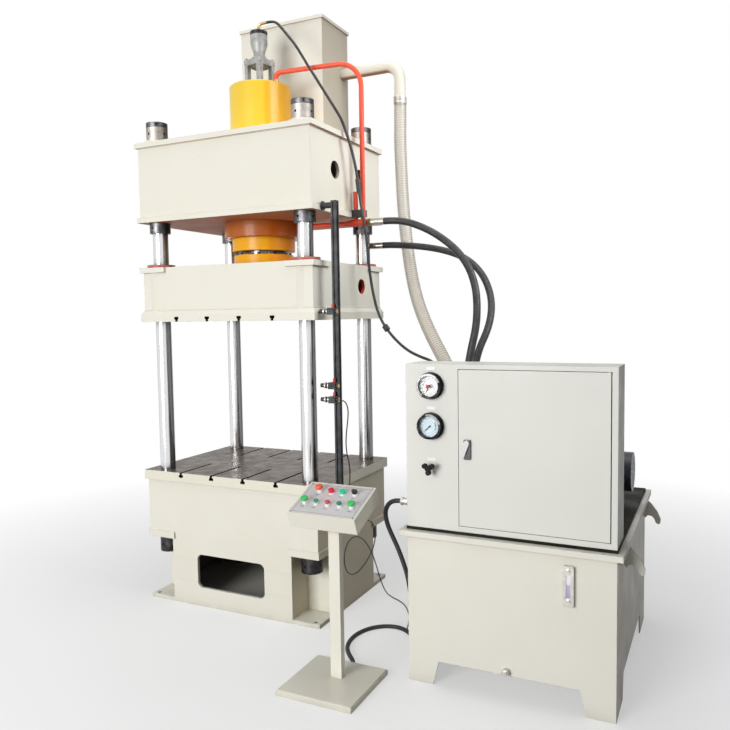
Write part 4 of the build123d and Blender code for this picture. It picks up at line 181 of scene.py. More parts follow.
# Base of the press: a welded box of thick plate on a foot plate, with a pocket at each corner
# for the column nut. It is sprayed with cream enamel, like the crown, the slide and the tanks.
class Finish:
    """A material with the textures that a finish needs, in metres of the machine."""

    def __init__(self, name, roughness, metallic=0.0):
        self.material = bpy.data.materials.new(name)
        self.material.use_nodes = True
        self.tree = self.material.node_tree
        self.shader = self.tree.nodes["Principled BSDF"]
        self.shader.inputs["Roughness"].default_value = roughness
        self.shader.inputs["Metallic"].default_value = metallic
        self.place = self.tree.nodes.new("ShaderNodeTexCoord").outputs["Object"]

    def stretched(self, stretch):
        """Object coordinates, stretched along an axis."""
        mapping = self.tree.nodes.new("ShaderNodeMapping")
        mapping.inputs["Scale"].default_value = stretch
        self.tree.links.new(self.place, mapping.inputs["Vector"])
        return mapping.outputs["Vector"]

    def cloud(self, scale, detail=3.0, stretch=(1.0, 1.0, 1.0), roughness=0.55):
        """Noise of a given scale per metre."""
        noise = self.tree.nodes.new("ShaderNodeTexNoise")
        noise.inputs["Scale"].default_value = scale
        noise.inputs["Detail"].default_value = detail
        noise.inputs["Roughness"].default_value = roughness
        self.tree.links.new(self.stretched(stretch), noise.inputs["Vector"])
        return noise.outputs["Fac"]

    def steps(self, factor, stops):
        """A ramp from a value to a colour or a grey."""
        ramp = self.tree.nodes.new("ShaderNodeValToRGB")
        elements = ramp.color_ramp.elements
        while len(elements) < len(stops):
            elements.new(0.5)
        for element, (spot, tone) in zip(elements, stops):
            element.position = spot
            element.color = (tone, tone, tone, 1.0) if isinstance(tone, float) else (*tone, 1.0)
        self.tree.links.new(factor, ramp.inputs["Fac"])
        return ramp.outputs["Color"]

    def mixed(self, factor, below, above, kind="MIX"):
        """Two colours mixed by a factor; each may be a socket or a colour."""
        mix = self.tree.nodes.new("ShaderNodeMix")
        mix.data_type = "RGBA"
        mix.blend_type = kind
        factor_socket, below_socket, above_socket = mix.inputs["Factor"], mix.inputs[6], mix.inputs[7]
        for socket, value in ((factor_socket, factor), (below_socket, below), (above_socket, above)):
            if isinstance(value, float):
                socket.default_value = value
            elif isinstance(value, tuple):
                socket.default_value = (*value, 1.0)
            else:
                self.tree.links.new(value, socket)
        return mix.outputs[2]

    def mottle(self, scale, detail, below, above, low=0.35, high=0.7):
        """Soft clouds of two colours."""
        return self.mixed(self.steps(self.cloud(scale, detail), [(low, 0.0), (high, 1.0)]), below, above)

    def rise(self, low, high):
        """Nought at one height of the machine and one at another."""
        split = self.tree.nodes.new("ShaderNodeSeparateXYZ")
        self.tree.links.new(self.place, split.inputs[0])
        climb = self.tree.nodes.new("ShaderNodeMapRange")
        climb.inputs["From Min"].default_value = low
        climb.inputs["From Max"].default_value = high
        self.tree.links.new(split.outputs["Z"], climb.inputs["Value"])
        return climb.outputs[0]

    def colour(self, socket):
        self.tree.links.new(socket, self.shader.inputs["Base Color"])

    def sheen_of(self, socket):
        self.tree.links.new(socket, self.shader.inputs["Roughness"])

    def corners(self, reach):
        """Painted shade: dark where two surfaces meet, light in the open, found by ambient occlusion."""
        shade = self.tree.nodes.new("ShaderNodeAmbientOcclusion")
        shade.samples = 4
        shade.inputs["Distance"].default_value = reach
        return shade.outputs["AO"]

    def facing(self, aim, stops):
        """A ramp over the way a surface faces, from against a direction to along it; the script paints
        shade and highlight with it.
        """
        turned_to = self.tree.nodes.new("ShaderNodeVectorMath")
        turned_to.operation = "DOT_PRODUCT"
        turned_to.inputs[1].default_value = aim
        way = self.tree.nodes.new("ShaderNodeTexCoord").outputs["Normal"]
        self.tree.links.new(way, turned_to.inputs[0])
        spread = self.tree.nodes.new("ShaderNodeMapRange")
        spread.inputs["From Min"].default_value = -1.0
        self.tree.links.new(turned_to.outputs["Value"], spread.inputs["Value"])
        return self.steps(spread.outputs[0], stops)

    def lacquer(self, weight, roughness):
        """A clear gloss over the paint."""
        self.shader.inputs["Coat Weight"].default_value = weight
        self.shader.inputs["Coat Roughness"].default_value = roughness

    def relief(self, layers, edge=0.0):
        """Stacked bumps of (height, strength, distance), over softened edges."""
        normal = None
        if edge > 0:
            soft = self.tree.nodes.new("ShaderNodeBevel")
            soft.samples = 4
            soft.inputs["Radius"].default_value = edge
            normal = soft.outputs["Normal"]
        for height, strength, distance in layers:
            bump = self.tree.nodes.new("ShaderNodeBump")
            bump.inputs["Strength"].default_value = strength
            bump.inputs["Distance"].default_value = distance
            self.tree.links.new(height, bump.inputs["Height"])
            if normal is not None:
                self.tree.links.new(normal, bump.inputs["Normal"])
            normal = bump.outputs["Normal"]
        self.tree.links.new(normal, self.shader.inputs["Normal"])


def enamel(name, colour, shade, grime_and_shade_colour, roughness=0.36, grain=260.0, edge=0.003, gloss=0.0, tint=None):
    """Sprayed enamel on plate: a slight peel, faint clouds, dirt and painted shade in the corners; a tint,
    if given, is painted shade and highlight by the way a face looks.
    """
    finish = Finish(name, roughness)
    body = finish.mottle(2.2, 3.0, colour, shade, high=0.68)
    if tint is not None:
        body = finish.mixed(1.0, body, finish.facing(*tint), "MULTIPLY")
    finish.lacquer(gloss, 0.08)
    finish.shader.inputs["Specular IOR Level"].default_value = 0.22
    speck = finish.steps(finish.cloud(38.0, 6.0, roughness=0.7), [(0.66, 0.0), (0.76, 0.35)])
    body = finish.mixed(speck, body, grime_and_shade_colour)
    # Painted shade: the grime colour is laid in patches where ambient occlusion finds a corner.
    meet = finish.steps(finish.corners(0.09), [(0.25, 0.75), (0.85, 0.0)])
    gathered = finish.steps(finish.cloud(9.0, 5.0), [(0.3, 0.35), (0.7, 1.0)])
    patchy = finish.mixed(gathered, (0.0, 0.0, 0.0), meet)
    finish.colour(finish.mixed(patchy, body, grime_and_shade_colour))
    finish.sheen_of(finish.steps(finish.cloud(6.0, 4.0), [(0.3, roughness - 0.06), (0.7, roughness + 0.1)]))
    finish.relief([(finish.cloud(3.0, 2.0), 0.05, 0.02), (finish.cloud(grain, 2.0), 0.06, 0.0006)], edge)
    return finish.material


def dress(node, *choices):
    """Give a solid its finish, and others where a test on a face's centre and normal holds."""
    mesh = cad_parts[node].data
    mesh.materials.clear()
    mesh.materials.append(choices[0])
    for number, (finish, test) in enumerate(choices[1:], start=1):
        mesh.materials.append(finish)
        for face in mesh.polygons:
            if test(face.center, face.normal):
                face.material_index = number


# Faces that look down are painted dark brown: painted shade under things, warmed as a painted reflection of
# the yellow cylinder.
down_faces_painted_shade = ((0.0, 0.0, -1.0), [(0.78, (1.0, 1.0, 1.0)), (0.93, (0.465, 0.20, 0.11))])
cream = enamel("cream_enamel", (0.80, 0.778, 0.685), (0.775, 0.752, 0.65), (0.40, 0.36, 0.27),
               gloss=0.25, tint=down_faces_painted_shade)
# Faces inside the hollow of the base are painted near black: painted shade.
base_inside_painted_shade = enamel("base_inside_dark_painted_shade", (0.16, 0.15, 0.13), (0.12, 0.11, 0.10), (0.05, 0.045, 0.04), 0.6)
# The base's cream is painted darker on the faces that look right: painted shade.
base_cream_right_painted_shade = enamel("base_cream_enamel", (0.80, 0.778, 0.685), (0.775, 0.752, 0.65), (0.40, 0.36, 0.27),
                    gloss=0.1, tint=(RIGHT, [(0.60, (1.0, 1.0, 1.0)), (0.93, (0.80, 0.74, 0.64))]))


def in_base_hollow(c, n):
    """Faces inside the walls of the base, above its foot plate, but not in the corner pockets."""
    in_pocket = abs(c.x) > 0.44 and abs(c.y) > 0.27
    return abs(c.x) < 0.6061 and abs(c.y) < 0.4361 and 0.03 < c.z < 0.7551 and not in_pocket


dress("base_frame", base_cream_right_painted_shade, (base_inside_painted_shade, in_base_hollow))


def skin(name, bars, finish, body="frame", smooth=True):
    """Bars skinned over rings of points, closed at both ends, as one piece on a body."""
    spots, faces = [], []
    for rings in bars:
        first, count = len(spots), len(rings[0])
        for row, ring in enumerate(rings):
            spots += ring
            if row > 0:
                here = first + row * count
                faces += [(here - count + step, here - count + (step + 1) % count,
                           here + (step + 1) % count, here + step) for step in range(count)]
        faces.append(tuple(reversed(range(first, first + count))))
        faces.append(tuple(range(len(spots) - count, len(spots))))
    mesh = bpy.data.meshes.new(name)
    mesh.from_pydata(spots, [], faces)
    mesh.materials.append(finish)
    mesh.polygons.foreach_set("use_smooth", [smooth and len(face) == 4 for face in faces])
    piece = bpy.data.objects.new(name, mesh)
    bpy.context.scene.collection.objects.link(piece)
    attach(piece, body)
    return piece


def weld(start, end, radius):
    """Rings of a weld bead between two points, rippled as the welder moved on."""
    start, end = Vector(start), Vector(end)
    ahead = (end - start).normalized()
    side = ahead.orthogonal().normalized()
    up = ahead.cross(side)
    rows = int((end - start).length / 0.0028)
    rings = []
    for row in range(rows + 1):
        swell = radius * (1.0 + 0.13 * sin(row * 2.24) + 0.05 * sin(row * 0.31))
        middle = start.lerp(end, row / rows)
        rings.append([middle + (side * cos(a) + up * sin(a)) * swell
                      for a in (step * pi / 4 for step in range(8))])
    return rings


def weld_round(half_x, half_y, z, radius):
    """Beads round a box at one height."""
    spots = [(-half_x, -half_y, z), (half_x, -half_y, z), (half_x, half_y, z), (-half_x, half_y, z)]
    return [weld(spots[side], spots[(side + 1) % 4], radius) for side in range(4)]


LEDGE_Z = 0.449
ledge_beads = []
for side_x in (-1, 1):
    for side_y in (-1, 1):
        corner = (side_x * 0.626, side_y * 0.456, LEDGE_Z)
        ledge_beads.append(weld((side_x * 0.425, corner[1], LEDGE_Z), corner, 0.004))
        ledge_beads.append(weld((corner[0], side_y * 0.253, LEDGE_Z), corner, 0.004))
skin("base_weld_beads", ledge_beads, cream)

# Bed plate: planed steel, brown with oil, bright where tools have rubbed it.
# It is bolted on the base and has T-slots from the front and the back.
oiled = Finish("oiled_bed_steel", 0.28, 0.2)
planed = oiled.cloud(60.0, 5.0, (1.0, 12.0, 1.0))
stain = oiled.steps(oiled.cloud(3.5, 6.0, roughness=0.65), [(0.36, 0.0), (0.66, 1.0)])
rubbed = oiled.mixed(stain, (0.105, 0.068, 0.046), (0.19, 0.14, 0.10))
scratch = oiled.steps(oiled.cloud(16.0, 3.0, (0.4, 14.0, 1.0)), [(0.30, 1.0), (0.36, 0.0)])
oiled.colour(oiled.mixed(scratch, rubbed, (0.05, 0.034, 0.024)))
oiled.sheen_of(oiled.steps(oiled.cloud(14.0, 5.0), [(0.3, 0.20), (0.7, 0.42)]))
oiled.shader.inputs["Specular IOR Level"].default_value = 0.12
oiled.relief([(planed, 0.10, 0.0006)], 0.002)
# The T-slots are painted near black inside: painted shadow.
slot_shadow = Finish("slot_painted_shadow", 0.6)
slot_shadow.colour(slot_shadow.mixed(slot_shadow.cloud(60.0), (0.006, 0.005, 0.004), (0.02, 0.017, 0.014)))
table_paint = enamel("table_edge_enamel", (0.80, 0.775, 0.66), (0.76, 0.73, 0.61), (0.30, 0.26, 0.19))
dress("table_plate", oiled.material,
      (table_paint, lambda c, n: abs(n.z) < 0.5 and (abs(c.x) > 0.646 or abs(c.y) > 0.4655)),
      (slot_shadow.material, lambda c, n: 0.795 < c.z < 0.8395 and abs(c.x) < 0.37 and abs(c.y) < 0.4664))

# Columns: round steel bars, ground and plated with hard chrome, streaked by oil along their length.
# Both ends are threaded for the round nuts that clamp the crown and the base.
chrome = Finish("hard_chrome", 0.16, 1.0)
streak = chrome.cloud(46.0, 4.0, (1.0, 1.0, 0.02))
ground_bar = chrome.mixed(chrome.steps(streak, [(0.34, 0.0), (0.66, 1.0)]),
                          (0.71, 0.71, 0.72), (0.81, 0.81, 0.81))
# The chrome is painted darker on the side that looks right, with a thin dark band where that side begins,
# and a little darker on the left side: painted reflection.
painted_reflection_bands = chrome.facing(RIGHT, [(0.05, 0.72), (0.16, 1.0), (0.74, 1.0), (0.785, 0.15), (0.815, 0.30),
                                 (0.92, 0.25), (0.95, 0.11)])
shaded_bar = chrome.mixed(1.0, ground_bar, painted_reflection_bands, "MULTIPLY")
# Darker where the chrome is close to other parts: painted shade.
chrome_corner_shade = chrome.steps(chrome.corners(0.06), [(0.30, 0.12), (0.85, 1.0)])
chrome.colour(chrome.mixed(1.0, shaded_bar, chrome_corner_shade, "MULTIPLY"))
chrome.sheen_of(chrome.steps(chrome.cloud(90.0, 4.0, (1.0, 1.0, 0.05)), [(0.3, 0.10), (0.7, 0.26)]))
chrome.relief([(chrome.cloud(400.0, 2.0, (0.1, 0.1, 6.0)), 0.03, 0.0003)], 0.002)
thread = Finish("column_thread", 0.4, 1.0)
turns = thread.tree.nodes.new("ShaderNodeTexWave")
turns.bands_direction = "Z"
turns.inputs["Scale"].default_value = 26.0
thread.tree.links.new(thread.place, turns.inputs["Vector"])
thread.colour(thread.steps(turns.outputs["Fac"], [(0.2, (0.08, 0.075, 0.07)), (0.8, (0.34, 0.32, 0.30))]))
thread.relief([(turns.outputs["Fac"], 0.5, 0.002)])
COLUMN_X, COLUMN_Y = 0.534, 0.3725
dress("columns", chrome.material, (thread.material, lambda c, n: c.z > 2.9195 or c.z < 0.408))

# Round nuts: turned steel above the crown with a burnished lock ring, burnished steel under the
# crown and blackened steel in the base. Each has holes for a pin spanner.
turned = Finish("turned_steel", 0.5, 1.0)
ring_marks = turned.cloud(120.0, 3.0, (0.15, 0.15, 9.0))
lathe = turned.mottle(26.0, 5.0, (0.36, 0.325, 0.295), (0.55, 0.505, 0.47), high=0.65)
# The turned steel is painted darker on the side that looks right: painted shade.
turned_right_painted_shade = turned.facing(RIGHT, [(0.1, 0.85), (0.35, 1.0), (0.62, 0.8), (0.88, 0.22)])
turned.colour(turned.mixed(1.0, lathe, turned_right_painted_shade, "MULTIPLY"))
turned.relief([(ring_marks, 0.14, 0.0006)], 0.0015)
black_steel = Finish("blackened_steel", 0.42, 0.75)
black_steel.colour(black_steel.mottle(30.0, 5.0, (0.022, 0.022, 0.024), (0.075, 0.072, 0.07), low=0.4))
black_steel.relief([(black_steel.cloud(160.0, 3.0, (0.2, 0.2, 6.0)), 0.1, 0.0005)], 0.0015)
burnished = Finish("burnished_steel", 0.45, 1.0)
worn = burnished.mottle(34.0, 5.0, (0.075, 0.075, 0.08), (0.17, 0.17, 0.175), high=0.65)
# The burnished steel is painted with a bright band and grows darker on the side that looks right: painted
# highlight and painted shade.
burnished_painted_highlight_and_shade = burnished.facing(RIGHT, [(0.2, 1.0), (0.42, 1.5), (0.66, 0.7), (0.9, 0.3)])
burnished.colour(burnished.mixed(1.0, worn, burnished_painted_highlight_and_shade, "MULTIPLY"))
burnished.relief([(burnished.cloud(140.0, 3.0, (0.2, 0.2, 6.0)), 0.1, 0.0005)], 0.0015)


def in_spanner_hole(c, n):
    """Faces of the holes for the pin spanner: they lie inside the nut's round wall."""
    reach = hypot(abs(c.x) - COLUMN_X, abs(c.y) - COLUMN_Y)
    return 0.052 < reach < 0.0635 and abs(n.z) < 0.999


dress("crown_nuts", turned.material, (burnished.material, lambda c, n: c.z > 3.0065 or c.z < 2.5),
      (black_steel.material, in_spanner_hole))
dress("base_nuts", black_steel.material, (turned.material, lambda c, n: c.z > 0.398))

# Crown: hollow beam, welded of steel plate round four column sleeves and the cylinder's sleeve.
# Its underside is painted dark brown: painted shade and a painted reflection of the yellow cylinder.
crown_underside_painted_shade = enamel("crown_underside_painted_shade_enamel", (0.58, 0.215, 0.105), (0.46, 0.165, 0.08),
                    (0.14, 0.06, 0.03), 0.5)
dress("crown", cream, (crown_underside_painted_shade, lambda c, n: n.z < -0.9 and c.z < 2.4115))
skin("crown_weld_beads", weld_round(0.622, 0.452, 2.442, 0.005) + weld_round(0.622, 0.452, 2.874, 0.004),
     cream)

# Main cylinder: forged body with gloss yellow enamel. Its flange bears on the crown from below,
# and the gland ring is bolted to the flange.
# The yellow is paler and bluer on the faces that look left, as painted highlight, and deeper orange on
# those that look right, as painted shade.
yellow_painted_highlight_and_shade = (RIGHT, [(0.08, (1.0, 1.02, 1.3)), (0.30, (1.0, 1.0, 1.0)), (0.60, (0.99, 0.93, 0.75)),
                    (0.67, (0.97, 0.74, 0.30)), (0.95, (0.93, 0.66, 0.22))])
yellow = enamel("yellow_enamel", (0.86, 0.60, 0.050), (0.84, 0.545, 0.040), (0.36, 0.13, 0.01), 0.30,
                gloss=0.25, tint=yellow_painted_highlight_and_shade)
# The gland ring and the rod flange take a deeper copy of the yellow, and the cylinder's flange under the
# crown a still darker one: painted shade.
golden_painted_shade = enamel("golden_yellow_enamel", (0.90, 0.47, 0.012), (0.87, 0.41, 0.010), (0.34, 0.12, 0.01), 0.34,
                gloss=0.05, tint=yellow_painted_highlight_and_shade)
amber_painted_shade = enamel("yellow_enamel_deepest_painted_shade", (0.50, 0.15, 0.025), (0.42, 0.11, 0.02), (0.18, 0.05, 0.01), 0.3,
               gloss=0.1, tint=yellow_painted_highlight_and_shade)
dress("cylinder_body", yellow, (amber_painted_shade, lambda c, n: c.z < 2.42))
dress("gland_ring", golden_painted_shade)
dress("piston_rod", chrome.material)
dress("rod_flange", golden_painted_shade, (black_steel.material, lambda c, n: c.z > 2.2075))

# Slide: hollow beam, welded of plate like the crown, with a thick lower plate and T-slots in its
# face. It is painted red inside, which shows through the round holes in its sides.
red_inside = enamel("slide_inside_red", (0.88, 0.11, 0.07), (0.8, 0.09, 0.05), (0.35, 0.05, 0.03), 0.5)
brushed_cream = enamel("cream_enamel_brushed", (0.78, 0.758, 0.668), (0.765, 0.742, 0.642),
                       (0.40, 0.36, 0.27), 0.6)


def on_slide_sleeve(c, n):
    """Faces of the column sleeves where they show through the front and the back wall."""
    return abs(c.y) > 0.4423 and 1.8625 < c.z < 2.107 and abs(abs(c.x) - COLUMN_X) < 0.03


def in_slide(c, n):
    """Faces inside the slide's walls, and of the round holes in its sides."""
    in_hole = abs(n.x) < 0.5 and hypot(abs(c.y) - 0.172, c.z - 1.995) < 0.0485
    return (abs(c.x) < 0.598 and abs(c.y) < 0.4205 and 1.8335 < c.z < 2.1005) or in_hole


dress("slide_block", cream, (brushed_cream, on_slide_sleeve), (red_inside, in_slide),
      (slot_shadow.material, lambda c, n: 1.7895 < c.z < 1.82 and abs(c.x) < 0.37 and abs(c.y) < 0.459),
      (oiled.material, lambda c, n: n.z < -0.5 and c.z < 1.7895))
skin("slide_weld_beads", weld_round(0.619, 0.442, 1.862, 0.004), cream, "slide")

# Guide bushes: flanged bushes that run on the columns, painted with red primer where they show.
# A red rubber ring on each wipes the column as the slide goes down.
bush_primer = enamel("bush_red_primer", (0.42, 0.20, 0.16), (0.30, 0.12, 0.09), (0.10, 0.05, 0.04),
                     0.4, 180.0, 0.001)
wiper = Finish("red_wiper_rubber", 0.5)
wiper.colour(wiper.mixed(wiper.cloud(30.0, 4.0), (0.42, 0.02, 0.012), (0.62, 0.05, 0.03)))
wiper.relief([(wiper.cloud(300.0), 0.1, 0.0004)])
dress("guide_bushes", bush_primer)
dress("wiper_rings", wiper.material)

# Prefill valve: grey casting with open windows, bolted to the cylinder head, with the
# pilot cylinder on its neck.
casting = Finish("grey_casting", 0.5, 0.35)
casting.colour(casting.mottle(24.0, 6.0, (0.27, 0.27, 0.26), (0.46, 0.46, 0.445), high=0.68))
casting.sheen_of(casting.steps(casting.cloud(40.0, 4.0), [(0.3, 0.36), (0.7, 0.62)]))
casting.relief([(casting.cloud(150.0, 5.0), 0.25, 0.0012)], 0.003)
dress("prefill_valve", casting.material)
dress("prefill_poppet", turned.material)
dress("pilot_cylinder", casting.material, (black_steel.material, lambda c, n: c.z > 3.602))

# Overhead tank and its lid: folded sheet, welded, with two gussets behind the crown.
# The return pipe leaves on the right and ends in a spigot for the clear hose.
# The tank's cream is painted darker on the faces that look right: painted shade.
tank_right_painted_shade = (RIGHT, [(0.60, (1.0, 1.0, 1.0)), (0.93, (0.74, 0.68, 0.61))])
tank_cream = enamel("tank_cream_enamel", (0.78, 0.76, 0.68), (0.755, 0.732, 0.645), (0.40, 0.36, 0.27),
                    gloss=0.1, tint=tank_right_painted_shade)
dress("overhead_tank", tank_cream)
dress("overhead_tank_lid", cream)
dress("return_pipe", cream)

# Pressure piping: thick steel tube, bent and welded, with orange-red enamel. It leads the oil from
# the hoses to the cylinder. A black plastic clamp holds the upright pipes to the crown's edge.
red_pipe = enamel("red_pipe_enamel", (0.86, 0.115, 0.055), (0.78, 0.09, 0.045), (0.2, 0.03, 0.015),
                  0.26, 300.0, 0.001)
plastic = Finish("black_plastic", 0.45)
plastic.colour(plastic.mixed(plastic.cloud(40.0, 4.0), (0.010, 0.010, 0.011), (0.028, 0.028, 0.03)))
plastic.relief([(plastic.cloud(900.0, 2.0), 0.08, 0.0002)], 0.001)
dress("pressure_pipes", red_pipe)
dress("pipe_clamp", plastic.material)

# Unions and hose ends: turned from steel and plated with zinc. The elbow of the pilot hose and the
# hexagon nuts of the two pressure hoses are brass.
zinc = Finish("zinc_plate", 0.3, 1.0)
zinc.colour(zinc.mottle(45.0, 5.0, (0.50, 0.49, 0.45), (0.62, 0.61, 0.57), high=0.65))
zinc.sheen_of(zinc.steps(zinc.cloud(70.0, 4.0), [(0.3, 0.28), (0.7, 0.38)]))
zinc.relief([(zinc.cloud(260.0, 3.0), 0.1, 0.0004)], 0.001)
brass = Finish("brass", 0.3, 1.0)
brass.colour(brass.mottle(50.0, 5.0, (0.36, 0.22, 0.07), (0.72, 0.50, 0.20), high=0.65))
brass.relief([(brass.cloud(220.0, 3.0), 0.1, 0.0004)], 0.001)


def is_brass(c, n):
    """Faces of the pilot elbow and of the two hexagon nuts."""
    on_elbow = c.x < 0.17 and c.z > 3.2
    on_front_nut = 0.740 < c.x < 0.762 and abs(c.z - 2.379) < 0.04
    on_rear_nut = 0.547 < c.x < 0.569 and abs(c.z - 2.275) < 0.04
    return on_elbow or on_front_nut or on_rear_nut


dress("hose_fittings", zinc.material, (brass.material, is_brass))

# Limit rail: black enamelled square bar on two standoffs. Three black clamps on it hold the
# proximity switches, and each has a red plastic screw.
rail_black = Finish("rail_black_enamel", 0.34, 0.1)
rail_black.shader.inputs["Specular IOR Level"].default_value = 0.25
rail_black.colour(rail_black.mottle(18.0, 5.0, (0.016, 0.017, 0.019), (0.065, 0.068, 0.072), low=0.4))
rail_black.relief([(rail_black.cloud(200.0, 3.0), 0.1, 0.0005)], 0.0015)
red_screw = Finish("red_screw_plastic", 0.4)
red_screw.colour(red_screw.mixed(red_screw.cloud(60.0), (0.45, 0.02, 0.01), (0.65, 0.04, 0.02)))
SWITCH_ZS = (1.337, 1.417, 1.837)


def on_clamp_screw(c, n):
    """Faces of the screws on top of the clamps."""
    above_clamp = any(z + 0.0195 < c.z < z + 0.040 for z in SWITCH_ZS)
    return above_clamp and hypot(c.x - 0.714, c.y + 0.385) < 0.012


def on_switch_nut(c, n):
    """Faces of the nuts, which stand out from the barrels of the switches."""
    return min(hypot(c.y + 0.412, c.z - z) for z in SWITCH_ZS) > 0.0125


dress("limit_rail", rail_black.material)
dress("switch_clamps", rail_black.material, (red_screw.material, on_clamp_screw))
dress("proximity_switches", plastic.material, (zinc.material, on_switch_nut),
      (brass.material, lambda c, n: c.x > 0.752))

# Oil tank of the power pack: box welded of steel plate on four legs, with a drip lip round its top
# and lifting hooks. It has cream enamel, and its drain plug is plated with zinc.
# The oil tank's cream is painted darker on the faces that look right: painted shade.
pack_cream = enamel("pack_cream_enamel", (0.80, 0.778, 0.695), (0.775, 0.752, 0.665), (0.40, 0.36, 0.27),
                    tint=(RIGHT, [(0.60, (1.0, 1.0, 1.0)), (0.93, (0.56, 0.53, 0.49))]))
dress("oil_tank", pack_cream,
      (zinc.material, lambda c, n: c.y < -0.777 and abs(c.x - 1.815) < 0.02 and c.z < 0.2))

# Cover of the tank: flat steel plate, painted dark and wet with oil in places. It lies on the
# tank's rim and carries the motor and the valve block.
cover_paint = Finish("dark_cover_enamel", 0.5)
cover_paint.shader.inputs["Specular IOR Level"].default_value = 0.05
cover_paint.colour(cover_paint.mottle(5.0, 6.0, (0.010, 0.010, 0.008), (0.030, 0.028, 0.022)))
cover_paint.sheen_of(cover_paint.steps(cover_paint.cloud(4.0, 5.0), [(0.4, 0.45), (0.6, 0.7)]))
cover_paint.relief([(cover_paint.cloud(30.0, 4.0), 0.06, 0.001)], 0.002)
dress("tank_cover", cover_paint.material)

# Sight gauge: metal frame, held on the front of the oil tank by two bolts. Its window shows the oil
# in front of a white card, up to a little over half of its height.
WINDOW_Z0, WINDOW_Z1 = 0.542, 0.646
window = Finish("sight_window", 0.12)
window.colour(window.steps(window.rise(WINDOW_Z0, WINDOW_Z1), [
    (0.0, (0.42, 0.36, 0.55)), (0.55, (0.55, 0.50, 0.66)), (0.6, (0.86, 0.86, 0.88))]))
window.relief([(window.cloud(60.0), 0.04, 0.0005)], 0.001)


def on_window(c, n):
    """Faces of the sight gauge's window."""
    middle_z = (WINDOW_Z0 + WINDOW_Z1) / 2
    return abs(c.x - 2.102) < 0.0101 and abs(c.z - middle_z) < 0.0521 and c.y > -0.7925


dress("level_gauge", zinc.material, (window.material, on_window))

# Cabinet: folded steel sheet with light grey powder coat. Its door hangs on two pins and is held
# by a chromed lock with a plastic lever. The electrical plate is behind it.
# The grey is painted darker on the faces that look right: painted shade.
powder = enamel("grey_powder_coat", (0.755, 0.75, 0.70), (0.735, 0.73, 0.68), (0.42, 0.41, 0.38),
                0.42, 700.0, 0.002, tint=(RIGHT, [(0.60, 1.0), (0.93, 0.52)]))
label = Finish("blank_label", 0.4)
label.colour(label.mixed(label.cloud(20.0), (0.80, 0.80, 0.79), (0.88, 0.88, 0.87)))
dress("cabinet", powder,
      (zinc.material, lambda c, n: c.x < 1.3215 or (abs(c.x - 2.2675) < 0.006 and -0.7722 < c.y < -0.7598)),
      (label.material, lambda c, n: c.y < -0.7762 and c.x > 1.3225))
lock_chrome = Finish("lock_chrome", 0.2, 1.0)
lock_chrome.colour(lock_chrome.mixed(lock_chrome.cloud(70.0), (0.06, 0.06, 0.068), (0.13, 0.13, 0.14)))
lock_chrome.relief([(lock_chrome.cloud(200.0), 0.05, 0.0004)], 0.001)
dress("cabinet_door", powder, (lock_chrome.material, lambda c, n: c.y < -0.7762))
lever = Finish("lock_lever_plastic", 0.35)
lever.colour(lever.mixed(lever.cloud(40.0), (0.62, 0.62, 0.60), (0.74, 0.74, 0.72)))
lever.relief([(lever.cloud(500.0), 0.06, 0.0003)], 0.002)
dress("door_latch", lever.material, (zinc.material, lambda c, n: c.y > -0.7845))
dress("electrical_plate", plastic.material, (zinc.material, lambda c, n: c.y > -0.5825))

# Gauges: flanged black cases in the cabinet's front, each with a chromed bezel, a printed dial, a
# pointer and a glass. The upper one has a contact to set, with a red knob on its glass.
dial_white = Finish("dial_card", 0.45)
dial_white.colour(dial_white.mixed(dial_white.cloud(30.0), (0.80, 0.80, 0.79), (0.87, 0.87, 0.86)))
dial_blue = Finish("pale_blue_dial_card", 0.45)
dial_blue.colour(dial_blue.mixed(dial_blue.cloud(30.0), (0.60, 0.74, 0.80), (0.68, 0.80, 0.85)))
GAUGE_X = 1.452
GAUGE_ZS = (1.472, 1.279)
DIAL_Y = -0.795
BEZEL_Y = -0.8069


def on_dial(z):
    """Faces of the dial of the gauge at height z."""
    return lambda c, n: hypot(c.x - GAUGE_X, c.z - z) < 0.0512 and abs(c.y - DIAL_Y) < 0.001 and n.y < -0.5


def chromed(name, dark, light):
    """Bright plating that mirrors the soft lamp, made in a lighter copy for painted highlight and a darker
    copy for painted shade.
    """
    finish = Finish(name, 0.35, 1.0)
    finish.colour(finish.mottle(45.0, 2.0, dark, light, 0.42, 0.58))
    finish.relief([(finish.cloud(120.0), 0.05, 0.0006)], 0.002)
    return finish.material


def on_bezel(z, low, high):
    """Faces of the bezel of the gauge at height z, between two angles in degrees."""
    return lambda c, n: (c.y < BEZEL_Y and hypot(c.x - GAUGE_X, c.z - z) < 0.085
                         and low < degrees(atan2(c.z - z, c.x - GAUGE_X)) % 360 < high)


# The bezels are near-black chrome as painted shade, with a lighter arc on each as painted highlight.
bezel_painted_highlight = chromed("bezel_chrome", (0.10, 0.10, 0.102), (0.19, 0.19, 0.192))
bezel_painted_shade = chromed("bezel_chrome_dark", (0.006, 0.006, 0.007), (0.030, 0.030, 0.032))
dress("gauge_cases", rail_black.material,
      (bezel_painted_shade, lambda c, n: c.y < BEZEL_Y),
      (bezel_painted_highlight, on_bezel(GAUGE_ZS[0], 20, 235)), (bezel_painted_highlight, on_bezel(GAUGE_ZS[1], 15, 105)),
      (dial_white.material, on_dial(GAUGE_ZS[0])), (dial_blue.material, on_dial(GAUGE_ZS[1])))
clear = Finish("gauge_glass", 0.03)
clear.shader.inputs["Transmission Weight"].default_value = 1.0
clear.shader.inputs["Base Color"].default_value = (0.97, 0.99, 1.0, 1.0)
clear.shader.inputs["Alpha"].default_value = 0.12
clear.relief([(clear.cloud(8.0), 0.01, 0.0005)])
dress("gauge_glasses", clear.material, (red_screw.material, lambda c, n: c.y < -0.8132))
